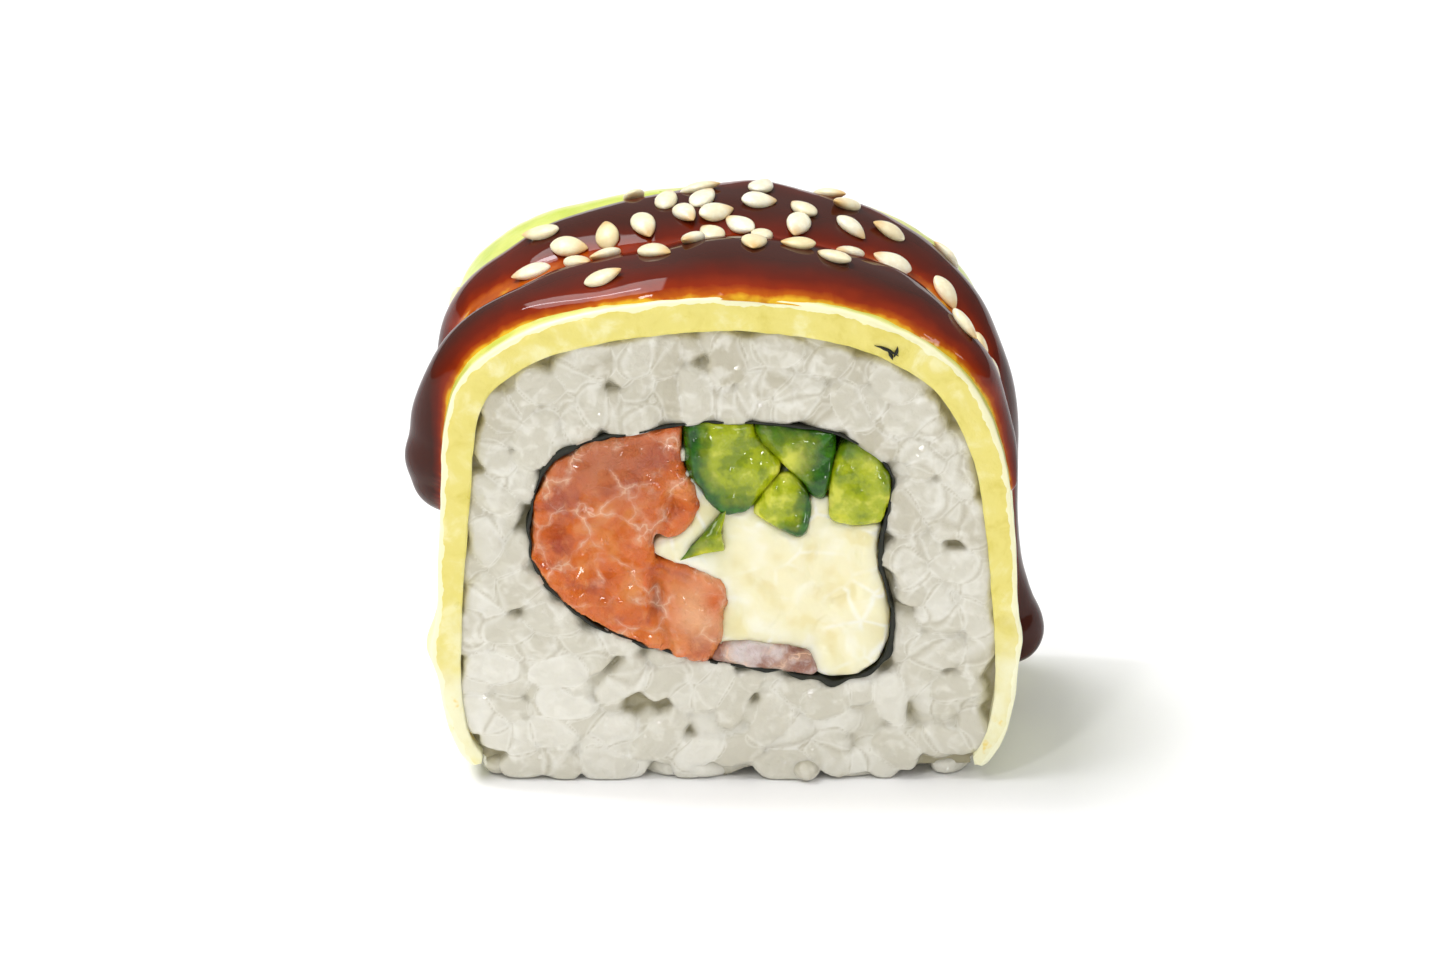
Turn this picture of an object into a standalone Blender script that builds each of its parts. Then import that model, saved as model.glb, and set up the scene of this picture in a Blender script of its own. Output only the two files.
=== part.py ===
"""One piece of an inside-out sushi roll, standing on its flat side with a cut face towards -Y.

Rice surrounds a nori tube that holds salmon, cucumber and cream cheese. Avocado wraps the rice over
the top and down both sides, and carries poured sauce and sesame seeds.
Lengths are millimetres until MM turns them into metres: X across the cut face, Y along the roll, Z up.
The origin is the centre of the resting face.
"""

import math
import random

import bmesh
import bpy
import numpy as np
from mathutils import Matrix, Vector

MM = 0.001

# Driving dimensions
LENGTH = 24.0  # cut face to cut face, an eighth of a 190 mm roll
GAP = 0.25  # clearance between neighbouring pieces
HEXAGON = math.cos(math.pi / 6)  # across the flats of a six-sided bead whose corners are 1 apart
NORI_THICKNESS = 0.5
AVOCADO_TOP = 2.7  # thickness over the top
AVOCADO_FOOT = 1.3  # thickness at the two lower ends
AVOCADO_LIFT = 1.0  # height of the lower ends above the table
RICE_CLEAR = 0.8  # how far past the avocado's ends the rice keeps inside it
GRAIN_LENGTH = 5.0
GRAIN_WIDTH = 2.5
GRAIN_THICKNESS = 2.2
GRAIN_VARIES = (0.94, 1.06)  # shortest and longest, as a share of that
GRAIN_PROUD = 0.85  # how far a grain stands out of the rice's core
GRAIN_TAPER = 0.12
GRAIN_FULLNESS = 0.55  # below 1 fills out a bead's shoulders
GRAIN_TILT = 0.06  # radians
GRAIN_SINK = (0.12, 0.3)  # how much deeper than that it lies, from the least to the most
SEED_LENGTH = 3.1
SEED_WIDTH = 1.9
SEED_THICKNESS = 0.95
SEED_TAPER = 0.5
SEED_LIFT = 0.22  # height of a seed's middle above the sauce, as a share of its thickness
ROUNDED_EDGE = 0.35
SHAVING_EDGE = 0.15
CORNER_CUT = 0.14  # share of a cucumber stick's side that each corner's cut takes
FILLING_SET_BACK = 0.15  # how far each piece's cut face lies behind the avocado's
CREAM_SET_BACK = 0.3
NORI_SET_BACK = 0.4

WELD = 0.002  # points of a prism this near each other become one

# Spacing of the points along each outline
WRAP_STEP = 0.4
RICE_STEP = 1.6
NORI_STEP = 1.5
FILLING_STEP = 1.6
CREAM_STEP = 2.1
ARCH_STEPS = 48

# Cross-section outlines, each a closed smooth curve through a few points
WRAP_OUTLINE = (
    (1.0, 41.6), (10.8, 40.0), (18.1, 35.4), (21.7, 27.6), (22.8, 16.0), (22.6, 6.5), (19.6, 0.7),
    (12.0, 0.0), (0.0, 0.0), (-12.0, 0.0), (-19.4, 0.7), (-22.3, 5.0), (-22.9, 13.0), (-22.6, 23.0),
    (-21.6, 33.0), (-17.0, 38.1), (-9.3, 40.7),
)
FILLING_OUTLINE = (
    (-2.4, 31.0), (3.5, 30.9), (8.9, 29.9), (12.7, 26.8), (12.3, 22.8), (11.8, 19.5), (12.9, 14.6),
    (12.2, 10.7), (9.3, 8.9), (4.0, 9.7), (-1.6, 10.6), (-6.5, 12.0), (-11.3, 14.2), (-14.9, 18.4),
    (-15.5, 22.5), (-14.4, 26.8), (-11.5, 29.0), (-7.0, 30.2),
)
# Each filling runs out past the nori, which trims it. Cream cheese fills all that the others leave
SALMON_OUTLINE = (
    (-4.0, 33.0), (-3.9, 29.0), (-3.5, 26.2), (-2.4, 24.6), (-2.8, 22.7), (-4.4, 21.2), (-6.4, 20.7),
    (-5.6, 19.4), (-3.3, 18.7), (-0.9, 17.4), (-0.2, 15.6), (-0.9, 13.6), (-0.9, 12.4), (-2.6, 10.0),
    (-6.0, 8.0), (-14.0, 10.0), (-19.0, 20.0), (-16.0, 31.0), (-9.0, 33.5),
)
SALMON_FLAKE_OUTLINE = (
    (-0.1, 12.1), (2.6, 11.9), (5.2, 11.5), (6.8, 10.6), (6.0, 8.0), (1.5, 8.0), (-1.6, 10.0),
)
CUCUMBER_OUTLINES = {
    "cucumber_left": ((-3.6, 32.0), (1.4, 32.0), (2.1, 29.4), (4.2, 27.3), (1.4, 23.4), (-0.3, 23.3),
                      (-1.9, 25.0), (-3.1, 27.0)),
    "cucumber_top": ((1.8, 32.5), (8.4, 32.0), (8.1, 27.6), (7.5, 24.4), (6.8, 24.7), (4.8, 27.3),
                     (2.5, 29.6)),
    "cucumber_middle": ((1.9, 23.5), (4.6, 26.9), (6.4, 24.4), (5.9, 21.3), (3.6, 22.3)),
    "cucumber_right": ((8.7, 28.6), (10.5, 30.0), (14.0, 28.0), (14.0, 22.5), (11.9, 22.5), (9.9, 22.3),
                       (8.0, 22.7), (8.1, 25.6)),
    "cucumber_shaving": ((-3.0, 20.2), (-0.5, 22.6), (-0.6, 20.8), (-1.6, 20.1)),
}

# Sauce: stations along the avocado, as (distance from the crown, centre in Y, half-width, crest)
# Distance is positive towards +X. Each stream ends in a drop: (distance, centre in Y, radius, crest)
FRONT_STREAM = (
    (-33.0, -6.0, 1.5, 0.9), (-26.0, -6.5, 2.3, 1.2), (-18.0, -7.0, 3.3, 1.3), (-8.0, -6.6, 4.5, 1.5),
    (2.0, -6.1, 5.3, 1.7), (12.0, -6.4, 4.9, 1.6), (20.0, -7.2, 3.6, 1.5), (26.0, -8.0, 2.3, 1.2),
    (31.0, -8.8, 0.9, 0.5),
)
BACK_STREAM = (
    (-41.0, 4.6, 1.3, 0.8), (-30.0, 4.0, 1.9, 1.0), (-20.0, 3.5, 3.1, 1.2), (-8.0, 4.4, 4.8, 1.6),
    (2.0, 5.2, 5.7, 1.7), (12.0, 5.0, 4.9, 1.6), (22.0, 3.6, 3.3, 1.4), (32.0, 2.5, 2.1, 1.1),
    (42.0, 2.0, 1.6, 1.0), (49.5, 2.0, 1.5, 1.0),
)
DROPS = ((-31.5, -6.0, 3.1, 3.0), (-41.0, 4.6, 2.2, 1.9), (49.0, 2.0, 2.8, 2.9))
SAUCE_SUNK = 0.35  # depth of the sauce's surface inside the avocado where there is none
SAUCE_FLOOR = 0.7  # depth of the sauce's hidden underside
DOME_POWER = 0.6  # 0.5 makes the stream's cross-section a half ellipse, and 1 a parabola
SAUCE_BLEND = 0.35  # rounding where two streams meet
SAUCE_INSIDE = 0.15  # how far inside the cut faces the sauce's slab ends
SAUCE_SPAN = (-46.0, 54.0)  # distances from the crown that the sauce's slab covers
SAUCE_GRID = (64, 18)

GRAIN_SEED = 6
SEED_SEED = 21
GRAIN_ROUNDS = ((1.0, 4000), (0.8, 4000), (0.62, 6000))  # share of the full length, and tries
SEED_COUNT = 38
SEED_MIDDLE = (1.0, 0.6)  # distance from the crown and Y where the seeds are thickest
CROWN_SPREAD = (10.5, 4.0)  # of the seeds, along and across the avocado
SLOPE_SPREAD = (19.0, 5.0)  # of every fifth seed
SEED_REACH = 30.0
SEED_APART = 2.15


def smooth_loop(points, spacing):
    """A closed Catmull-Rom curve through the points, as points about spacing apart."""
    knots = np.array(points, float)
    count = len(knots)
    fine = []
    for i in range(count):
        a, b, c, d = (knots[(i + k) % count] for k in (-1, 0, 1, 2))
        for t in np.linspace(0, 1, 24, endpoint=False):
            fine.append(0.5 * (2 * b + (c - a) * t + (2 * a - 5 * b + 4 * c - d) * t**2
                               + (3 * b - a - 3 * c + d) * t**3))
    return resampled(np.array(fine), spacing)


def resampled(loop, spacing):
    """The closed polyline with evenly spaced points."""
    closed = np.vstack([loop, loop[:1]])
    along = np.concatenate([[0], np.cumsum(np.linalg.norm(np.diff(closed, axis=0), axis=1))])
    count = max(8, round(along[-1] / spacing))
    places = np.linspace(0, along[-1], count, endpoint=False)
    return np.column_stack([np.interp(places, along, closed[:, k]) for k in (0, 1)])


def normals(loop):
    """Unit normals that point out of a closed clockwise loop."""
    along = np.roll(loop, -1, axis=0) - np.roll(loop, 1, axis=0)
    out = np.column_stack([-along[:, 1], along[:, 0]])
    return out / np.linalg.norm(out, axis=1)[:, None]


def grown(loop, distance):
    """The loop moved outwards, by one distance or by one for each point."""
    return loop + normals(loop) * np.reshape(distance, (-1, 1))


class Wrap:
    """The avocado's outer outline, read by the distance along it from the crown."""

    def __init__(self):
        loop = smooth_loop(WRAP_OUTLINE, WRAP_STEP)
        crown = int(np.argmax(loop[:, 1]))
        self.loop = np.roll(loop, -crown, axis=0)
        self.out = normals(self.loop)
        steps = np.linalg.norm(np.roll(self.loop, -1, axis=0) - self.loop, axis=1)
        self.girth = steps.sum()
        self.along = np.concatenate([[0], np.cumsum(steps)[:-1]])
        right = self.loop[: len(self.loop) // 2]
        left = self.loop[len(self.loop) // 2:]
        self.right_end = self.along[np.argmin(abs(right[:, 1] - AVOCADO_LIFT))]
        left_index = len(right) + np.argmin(abs(left[:, 1] - AVOCADO_LIFT))
        self.left_end = self.along[left_index] - self.girth

    def at(self, distance):
        """(point, outward normal) of the cross-section at a distance from the crown."""
        place = distance % self.girth
        point = [np.interp(place, self.along, self.loop[:, k], period=self.girth) for k in (0, 1)]
        out = [np.interp(place, self.along, self.out[:, k], period=self.girth) for k in (0, 1)]
        return np.array(point), np.array(out) / np.linalg.norm(out)

    def thickness(self, distance):
        """The avocado thins towards its lower ends."""
        end = self.right_end if distance > 0 else -self.left_end
        share = min(1.0, abs(distance) / end)
        return AVOCADO_TOP + (AVOCADO_FOOT - AVOCADO_TOP) * share**2.2


def stream_values(stations, distance):
    """A stream's (centre in Y, half-width, crest) at a distance, on a smooth curve through its stations."""
    table = np.array(stations)
    places = table[:, 0]
    slopes = np.gradient(table[:, 1:], places, axis=0)
    i = int(np.clip(np.searchsorted(places, distance) - 1, 0, len(places) - 2))
    span = places[i + 1] - places[i]
    t = np.clip((distance - places[i]) / span, 0, 1)
    return ((2 * t**3 - 3 * t**2 + 1) * table[i, 1:] + (t**3 - 2 * t**2 + t) * span * slopes[i]
            + (3 * t**2 - 2 * t**3) * table[i + 1, 1:] + (t**3 - t**2) * span * slopes[i + 1])


def dome(offset, crest):
    """Height of a rounded bead at offset half-widths from its middle, sinking away outside it."""
    inside = 1 - offset * offset
    return crest * inside**DOME_POWER if inside > 0 else crest * inside


def sauce_height(distance, y):
    """How far the sauce stands above the avocado, negative where there is none."""
    heights = [-9.0]
    for stations in (FRONT_STREAM, BACK_STREAM):
        centre, half_width, crest = stream_values(stations, distance)
        beyond = max(stations[0][0] - distance, distance - stations[-1][0], 0)
        offset = math.hypot(y - centre, beyond) / half_width
        heights.append(dome(offset, crest))
    for place, centre, radius, crest in DROPS:
        heights.append(dome(math.hypot(distance - place, y - centre) / radius, crest))
    blend = sum(math.exp(height / SAUCE_BLEND) for height in heights)
    return max(SAUCE_BLEND * math.log(blend), -SAUCE_SUNK)


def clear_scene():
    for item in list(bpy.data.objects):
        bpy.data.objects.remove(item)


def new_collection(name, hidden=False):
    made = bpy.data.collections.new(name)
    bpy.context.scene.collection.children.link(made)
    made.hide_render = hidden
    return made


def material(name, colour, roughness):
    made = bpy.data.materials.new(name)
    made.use_nodes = True
    shader = made.node_tree.nodes["Principled BSDF"]
    shader.inputs["Base Color"].default_value = (*colour, 1.0)
    shader.inputs["Roughness"].default_value = roughness
    shader.inputs["Metallic"].default_value = 0.0
    return made


def prism(name, loops, half_length, collection, finish=None, edge=0.0):
    """The area between the loops extruded both ways along Y, with its long edges rounded."""
    curve = bpy.data.curves.new(name, "CURVE")
    curve.dimensions = "2D"
    curve.fill_mode = "BOTH"
    curve.extrude = (half_length - edge) * MM
    curve.bevel_depth = edge * MM
    curve.bevel_resolution = 0
    curve.offset = -edge * MM
    for loop in loops:
        spline = curve.splines.new("POLY")
        spline.points.add(len(loop) - 1)
        spline.use_cyclic_u = True
        for point, (x, z) in zip(spline.points, loop):
            point.co = (x * MM, z * MM, 0, 1)
    outline = bpy.data.objects.new(name + "_outline", curve)
    outline.rotation_euler = (math.pi / 2, 0, 0)
    collection.objects.link(outline)
    bpy.context.view_layer.update()
    graph = bpy.context.evaluated_depsgraph_get()
    mesh = bpy.data.meshes.new_from_object(outline.evaluated_get(graph))
    mesh.transform(outline.matrix_world)
    bpy.data.objects.remove(outline)
    work = bmesh.new()
    work.from_mesh(mesh)
    bmesh.ops.remove_doubles(work, verts=work.verts, dist=WELD * MM)
    bmesh.ops.recalc_face_normals(work, faces=work.faces)
    work.to_mesh(mesh)
    work.free()
    return solid(name, mesh, collection, finish)


def solid(name, mesh, collection, finish=None):
    made = bpy.data.objects.new(name, mesh)
    collection.objects.link(made)
    if finish:
        mesh.materials.clear()
        mesh.materials.append(finish)
    return made


def apply_boolean(target, operation, operand=None, collection=None, solver="EXACT"):
    """Applies a Boolean to the target, by one object or by all of a collection."""
    modifier = target.modifiers.new(operation.title(), "BOOLEAN")
    modifier.operation = operation
    modifier.solver = solver
    if collection:
        modifier.operand_type = "COLLECTION"
        modifier.collection = collection
    else:
        modifier.object = operand
    bpy.context.view_layer.update()
    graph = bpy.context.evaluated_depsgraph_get()
    mesh = bpy.data.meshes.new_from_object(target.evaluated_get(graph))
    target.modifiers.clear()
    target.data = mesh


def keep_outer_shell(target):
    """Fills what the joining sealed in and drops loose scraps: only the largest shell stays."""
    work = bmesh.new()
    work.from_mesh(target.data)
    left = set(work.verts)
    shells = []
    while left:
        shell = set()
        front = [left.pop()]
        while front:
            vert = front.pop()
            shell.add(vert)
            near = {edge.other_vert(vert) for edge in vert.link_edges} & left
            left -= near
            front.extend(near)
        shells.append(shell)
    shells.sort(key=len)
    bmesh.ops.delete(work, geom=[vert for shell in shells[:-1] for vert in shell], context="VERTS")
    work.to_mesh(target.data)
    work.free()


def remove_all(collection):
    for item in list(collection.objects):
        bpy.data.objects.remove(item)
    bpy.data.collections.remove(collection)


def bead_mesh(name, size, taper, fullness=1.0):
    """A low-poly grain or seed along its own X axis, narrower at +X by taper."""
    length, width, thickness = size
    work = bmesh.new()
    bmesh.ops.create_uvsphere(work, u_segments=6, v_segments=4, radius=0.5)
    for vert in work.verts:
        x, y, z = vert.co.z, vert.co.x, vert.co.y / HEXAGON
        girth = math.hypot(vert.co.x, vert.co.y) * 2
        full = (1 - taper * x) * (girth ** (fullness - 1) if girth > 0.01 else 1.0)
        vert.co = (x * length * MM, y * width * full * MM, z * thickness * full * MM)
    mesh = bpy.data.meshes.new(name)
    work.to_mesh(mesh)
    work.free()
    return mesh


def inside(loop, point):
    """Whether a closed loop holds the point."""
    x, z = point
    ahead = np.roll(loop, -1, axis=0)
    crosses = (loop[:, 1] > z) != (ahead[:, 1] > z)
    rise = np.where(crosses, ahead[:, 1] - loop[:, 1], 1.0)
    reach = loop[:, 0] + (z - loop[:, 1]) * (ahead[:, 0] - loop[:, 0]) / rise
    return int((crosses & (x < reach)).sum()) % 2 == 1


def centre_line(x, z, angle, length):
    """Points along the middle of a grain, from the centre of one round end to the other's."""
    reach = np.array([math.cos(angle), math.sin(angle)]) * (length - GRAIN_WIDTH) / 2
    return np.array([x, z]) + np.linspace(-1, 1, 5)[:, None] * reach


def grain_places(outer, hole, draw):
    """(x, z, angle, length) of grains side by side on the rice between two loops, the longest first."""
    margin = GRAIN_WIDTH / 2
    apart = GRAIN_WIDTH * 1.02
    edges = np.vstack([resampled(outer, 0.5), resampled(hole, 0.5)])
    low, high = outer.min(axis=0), outer.max(axis=0)
    places = []
    taken = np.empty((0, 2))
    for share, tries in GRAIN_ROUNDS:
        for _ in range(tries):
            x, z = draw.uniform(low[0], high[0]), draw.uniform(low[1], high[1])
            angle = draw.uniform(0, math.pi)
            length = GRAIN_LENGTH * share * draw.uniform(*GRAIN_VARIES)
            line = centre_line(x, z, angle, length)
            if not inside(outer, line[2]) or inside(hole, line[2]):
                continue
            if nearest(edges, line) < margin or nearest(taken, line) < apart:
                continue
            places.append((x, z, angle, length))
            taken = np.vstack([taken, line])
    return places


def nearest(points, line):
    """The shortest distance between two sets of points."""
    if not len(points):
        return math.inf
    return np.sqrt(((points[:, None] - line[None]) ** 2).sum(axis=2).min())


def make_rice(wrap, collection, finish):
    """The rice ring: a core with whole grains standing out of both cut faces."""
    thin = np.array([wrap.thickness(d if d < wrap.girth / 2 else d - wrap.girth) for d in wrap.along])
    under = wrap.along > wrap.right_end + RICE_CLEAR
    under &= wrap.along < wrap.girth + wrap.left_end - RICE_CLEAR
    inset = np.where(under, 0.0, thin + GAP)
    inset = np.convolve(np.concatenate([inset[-2:], inset, inset[:2]]), np.ones(5) / 5, "valid")
    inset = np.maximum(inset, np.where(under, 0.0, thin + GAP))
    outer = grown(wrap.loop, -inset)
    outer[:, 1] = np.maximum(outer[:, 1], 0.0)
    outer = resampled(outer, RICE_STEP)
    hole = grown(smooth_loop(FILLING_OUTLINE, NORI_STEP), NORI_THICKNESS + GAP)
    half_core = LENGTH / 2 - GRAIN_PROUD
    rice = prism("rice", (outer, hole), half_core, collection, finish)
    grains = new_collection("grains", hidden=True)
    draw = random.Random(GRAIN_SEED)
    shape = bead_mesh("grain", (1.0, GRAIN_WIDTH, GRAIN_THICKNESS), GRAIN_TAPER, GRAIN_FULLNESS)
    sunk = GRAIN_THICKNESS / 2 - GRAIN_PROUD
    for side in (-1, 1):
        for x, z, angle, length in grain_places(outer, hole, draw):
            grain = bpy.data.objects.new("grain", shape)
            grains.objects.link(grain)
            depth = sunk + draw.uniform(*GRAIN_SINK)
            place = Vector((x, side * (half_core - depth), z)) * MM
            tilt = draw.uniform(-GRAIN_TILT, GRAIN_TILT)
            turn = Matrix.Rotation(-angle, 4, "Y") @ Matrix.Rotation(tilt, 4, "Z")
            flat = Matrix.Rotation(math.pi / 2, 4, "X")
            stretch = Matrix.Diagonal((length, 1, 1, 1))
            grain.matrix_world = Matrix.Translation(place) @ turn @ flat @ stretch
    apply_boolean(rice, "UNION", collection=grains, solver="MANIFOLD")
    keep_outer_shell(rice)
    remove_all(grains)
    return rice


def make_nori(collection, finish):
    inner = smooth_loop(FILLING_OUTLINE, NORI_STEP)
    half_length = LENGTH / 2 - NORI_SET_BACK
    return prism("nori", (grown(inner, NORI_THICKNESS), inner), half_length, collection, finish)


def make_fillings(collection, cutters, finishes):
    """Salmon and cucumber trimmed to the nori, and cream cheese in all the space between them."""
    within = grown(smooth_loop(FILLING_OUTLINE, CREAM_STEP), -GAP)
    envelope = prism("filling_envelope", (within,), LENGTH, cutters)
    loops = {name: cut_corners(outline) for name, outline in CUCUMBER_OUTLINES.items()}
    loops["salmon"] = smooth_loop(SALMON_OUTLINE, FILLING_STEP)
    loops["salmon_flake"] = smooth_loop(SALMON_FLAKE_OUTLINE, FILLING_STEP)
    half_length = LENGTH / 2 - CREAM_SET_BACK
    cream = prism("cream_cheese", (within,), half_length, collection, finishes["cream"], ROUNDED_EDGE)
    rooms = new_collection("rooms", hidden=True)
    for name, loop in loops.items():
        finish = finishes[name.split("_")[0]]
        edge = SHAVING_EDGE if name == "cucumber_shaving" else ROUNDED_EDGE
        piece = prism(name, (loop,), LENGTH / 2 - FILLING_SET_BACK, collection, finish, edge)
        apply_boolean(piece, "INTERSECT", operand=envelope)
        prism(name + "_room", (grown(loop, GAP),), LENGTH, rooms)
    apply_boolean(cream, "DIFFERENCE", collection=rooms, solver="MANIFOLD")
    keep_outer_shell(cream)
    remove_all(rooms)


def cut_corners(outline):
    """The polygon with each corner cut off a little, so that its sides stay straight."""
    loop = np.array(outline, float)
    ahead = np.roll(loop, -1, axis=0)
    pairs = [loop + (ahead - loop) * CORNER_CUT, ahead - (ahead - loop) * CORNER_CUT]
    return np.stack(pairs, axis=1).reshape(-1, 2)


def make_avocado(wrap, collection, finish):
    """The avocado arch, with the sauce and the sesame seeds on it joined to it."""
    distances = np.linspace(wrap.left_end, wrap.right_end, ARCH_STEPS + 1)
    outer = [wrap.at(d)[0] for d in distances]
    inner = [wrap.at(d)[0] - wrap.at(d)[1] * wrap.thickness(d) for d in distances]
    arch = prism("avocado", (outer + inner[::-1],), LENGTH / 2, collection, finish)
    toppings = new_collection("toppings", hidden=True)
    solid("sauce", sauce_mesh(wrap), toppings)
    shape = bead_mesh("seed", (SEED_LENGTH, SEED_WIDTH, SEED_THICKNESS), SEED_TAPER)
    for placed in seed_matrices(wrap):
        seed = bpy.data.objects.new("seed", shape)
        toppings.objects.link(seed)
        seed.matrix_world = placed
    apply_boolean(arch, "UNION", collection=toppings, solver="MANIFOLD")
    keep_outer_shell(arch)
    remove_all(toppings)
    return arch


def sauce_mesh(wrap):
    """A slab bent round the avocado: its top follows the sauce, its underside stays in the avocado."""
    start, stop = SAUCE_SPAN
    half_width = LENGTH / 2 - SAUCE_INSIDE
    work = bmesh.new()
    bmesh.ops.create_grid(work, x_segments=SAUCE_GRID[0], y_segments=SAUCE_GRID[1], size=0.5)
    bmesh.ops.solidify(work, geom=work.faces[:], thickness=1.0)
    top = max(vert.co.z for vert in work.verts)
    for vert in work.verts:
        distance = start + (vert.co.x + 0.5) * (stop - start)
        y = vert.co.y * 2 * half_width
        on_top = vert.co.z > top - 0.5
        height = sauce_height(distance, y) if on_top else -SAUCE_FLOOR
        point, out = wrap.at(distance)
        x, z = point + out * height
        vert.co = Vector((x, y, z)) * MM
    bmesh.ops.recalc_face_normals(work, faces=work.faces)
    mesh = bpy.data.meshes.new("sauce")
    work.to_mesh(mesh)
    work.free()
    return mesh


def surface_frame(wrap, distance, y):
    """(point, along, across, out) on the sauce or the avocado, as unit vectors of the roll's frame."""
    def spot(d, v):
        point, out = wrap.at(d)
        x, z = point + out * max(sauce_height(d, v), 0.0)
        return Vector((x, v, z))
    here = spot(distance, y)
    along = (spot(distance + 0.5, y) - spot(distance - 0.5, y)).normalized()
    across = spot(distance, y + 0.5) - spot(distance, y - 0.5)
    out = across.cross(along).normalized()
    if out.z * wrap.at(distance)[1][1] + out.x * wrap.at(distance)[1][0] < 0:
        out = -out
    return here, along, out.cross(along).normalized(), out


def seed_places():
    """(distance, y, turn) of the sesame seeds: thick along the crown, thinner down the shoulders."""
    draw = random.Random(SEED_SEED)
    places = []
    while len(places) < SEED_COUNT:
        spread_along, spread_across = SLOPE_SPREAD if len(places) % 5 == 4 else CROWN_SPREAD
        distance = draw.gauss(SEED_MIDDLE[0], spread_along)
        y = draw.gauss(SEED_MIDDLE[1], spread_across)
        turn = draw.uniform(0, 2 * math.pi)
        if abs(distance) > SEED_REACH or abs(y) > LENGTH / 2 - SEED_WIDTH:
            continue
        if any(math.hypot(distance - d, y - v) < SEED_APART for d, v, _ in places):
            continue
        places.append((distance, y, turn))
    return places


def seed_matrices(wrap):
    """Where each seed lies, a little sunk in the sauce."""
    for distance, y, turn in seed_places():
        here, along, across, out = surface_frame(wrap, distance, y)
        axes = Matrix((along, across, out)).transposed().to_4x4()
        place = Matrix.Translation((here + out * SEED_THICKNESS * SEED_LIFT) * MM)
        yield place @ axes @ Matrix.Rotation(turn, 4, "Z")


def main():
    clear_scene()
    roll = new_collection("uramaki_piece")
    cutters = new_collection("cutters", hidden=True)
    wrap = Wrap()
    finishes = {
        "salmon": material("salmon_flesh", (0.78, 0.27, 0.12), 0.3),
        "cream": material("cream_cheese", (0.93, 0.88, 0.70), 0.45),
        "cucumber": material("cucumber_flesh", (0.40, 0.55, 0.09), 0.3),
    }
    make_rice(wrap, roll, material("cooked_rice", (0.80, 0.80, 0.74), 0.35))
    make_nori(roll, material("nori_sheet", (0.02, 0.03, 0.015), 0.6))
    make_fillings(roll, cutters, finishes)
    make_avocado(wrap, roll, material("avocado_with_sauce", (0.72, 0.72, 0.20), 0.4))


main()
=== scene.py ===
"""Looks of one piece of inside-out sushi roll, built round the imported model.

Lengths are millimetres until MM turns them into metres: X across the cut face, Y along the roll, Z up.
"""

import math
import random

import bmesh
import bpy
import numpy as np
from mathutils import Matrix, Vector, noise


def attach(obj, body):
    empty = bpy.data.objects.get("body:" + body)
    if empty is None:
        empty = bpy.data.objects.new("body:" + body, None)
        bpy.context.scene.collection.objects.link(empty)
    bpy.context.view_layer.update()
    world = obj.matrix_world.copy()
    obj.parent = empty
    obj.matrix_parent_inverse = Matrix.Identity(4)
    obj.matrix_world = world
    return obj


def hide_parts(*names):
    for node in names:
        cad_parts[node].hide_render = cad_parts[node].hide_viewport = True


MM = 0.001

# The same outlines and streams as the solids have: points are (x, z), clockwise, and streams are
# (distance along the outline from the crown, middle in Y, half-width, height)
LENGTH = 24.0
AVOCADO_TOP = 2.7
AVOCADO_FOOT = 1.3
AVOCADO_LIFT = 1.0
NORI_THICKNESS = 0.5
WRAP_OUTLINE = (
    (1.0, 41.6), (10.8, 40.0), (18.1, 35.4), (21.7, 27.6), (22.8, 16.0), (22.6, 6.5), (19.6, 0.7),
    (12.0, 0.0), (0.0, 0.0), (-12.0, 0.0), (-19.4, 0.7), (-22.3, 5.0), (-22.9, 13.0), (-22.6, 23.0),
    (-21.6, 33.0), (-17.0, 38.1), (-9.3, 40.7),
)
FILLING_OUTLINE = (
    (-2.4, 31.0), (3.5, 30.9), (8.9, 29.9), (12.7, 26.8), (12.3, 22.8), (11.8, 19.5), (12.9, 14.6),
    (12.2, 10.7), (9.3, 8.9), (4.0, 9.7), (-1.6, 10.6), (-6.5, 12.0), (-11.3, 14.2), (-14.9, 18.4),
    (-15.5, 22.5), (-14.4, 26.8), (-11.5, 29.0), (-7.0, 30.2),
)
FRONT_STREAM = (
    (-33.5, -6.0, 2.5, 2.3), (-29.0, -6.1, 2.8, 2.6), (-24.0, -6.5, 3.0, 2.1), (-18.0, -6.9, 3.4, 1.5),
    (-8.0, -6.6, 4.5, 1.5), (2.0, -6.1, 5.3, 1.7), (12.0, -6.4, 4.9, 1.6), (20.0, -7.2, 3.6, 1.5),
    (26.0, -8.0, 2.3, 1.2), (31.0, -8.8, 0.9, 0.5),
)
BACK_STREAM = (
    (-37.0, 4.6, 1.5, 1.1), (-30.0, 4.0, 2.0, 1.1), (-20.0, 3.5, 3.1, 1.2), (-8.0, 4.4, 4.8, 1.6),
    (2.0, 5.2, 5.7, 1.7), (12.0, 5.0, 4.9, 1.6), (22.0, 3.6, 3.3, 1.4), (32.0, 2.5, 2.0, 0.9),
    (41.0, 2.1, 1.5, 0.6), (45.5, 2.0, 1.9, 1.2), (48.5, 2.0, 2.3, 2.1), (50.0, 2.0, 2.2, 2.0),
)
DROPS = ((-31.5, -6.0, 3.1, 3.0), (-38.0, 4.6, 2.0, 1.6), (49.2, 2.0, 2.7, 2.7))
# Thin sauce between the streams, too thin to be in the solids
FILM = (
    (-36.0, -1.0, 1.5, 0.04), (-26.0, -1.2, 3.6, 0.10), (-16.0, -1.0, 4.2, 0.14), (-4.0, -0.5, 5.0, 0.50),
    (4.0, -0.5, 5.0, 0.50), (14.0, -0.8, 4.0, 0.14), (22.0, -1.6, 2.6, 0.06),
)
DOME_POWER = 0.6
SAUCE_BLEND = 0.35
SAUCE_SPAN = (-46.0, 54.0)

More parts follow.
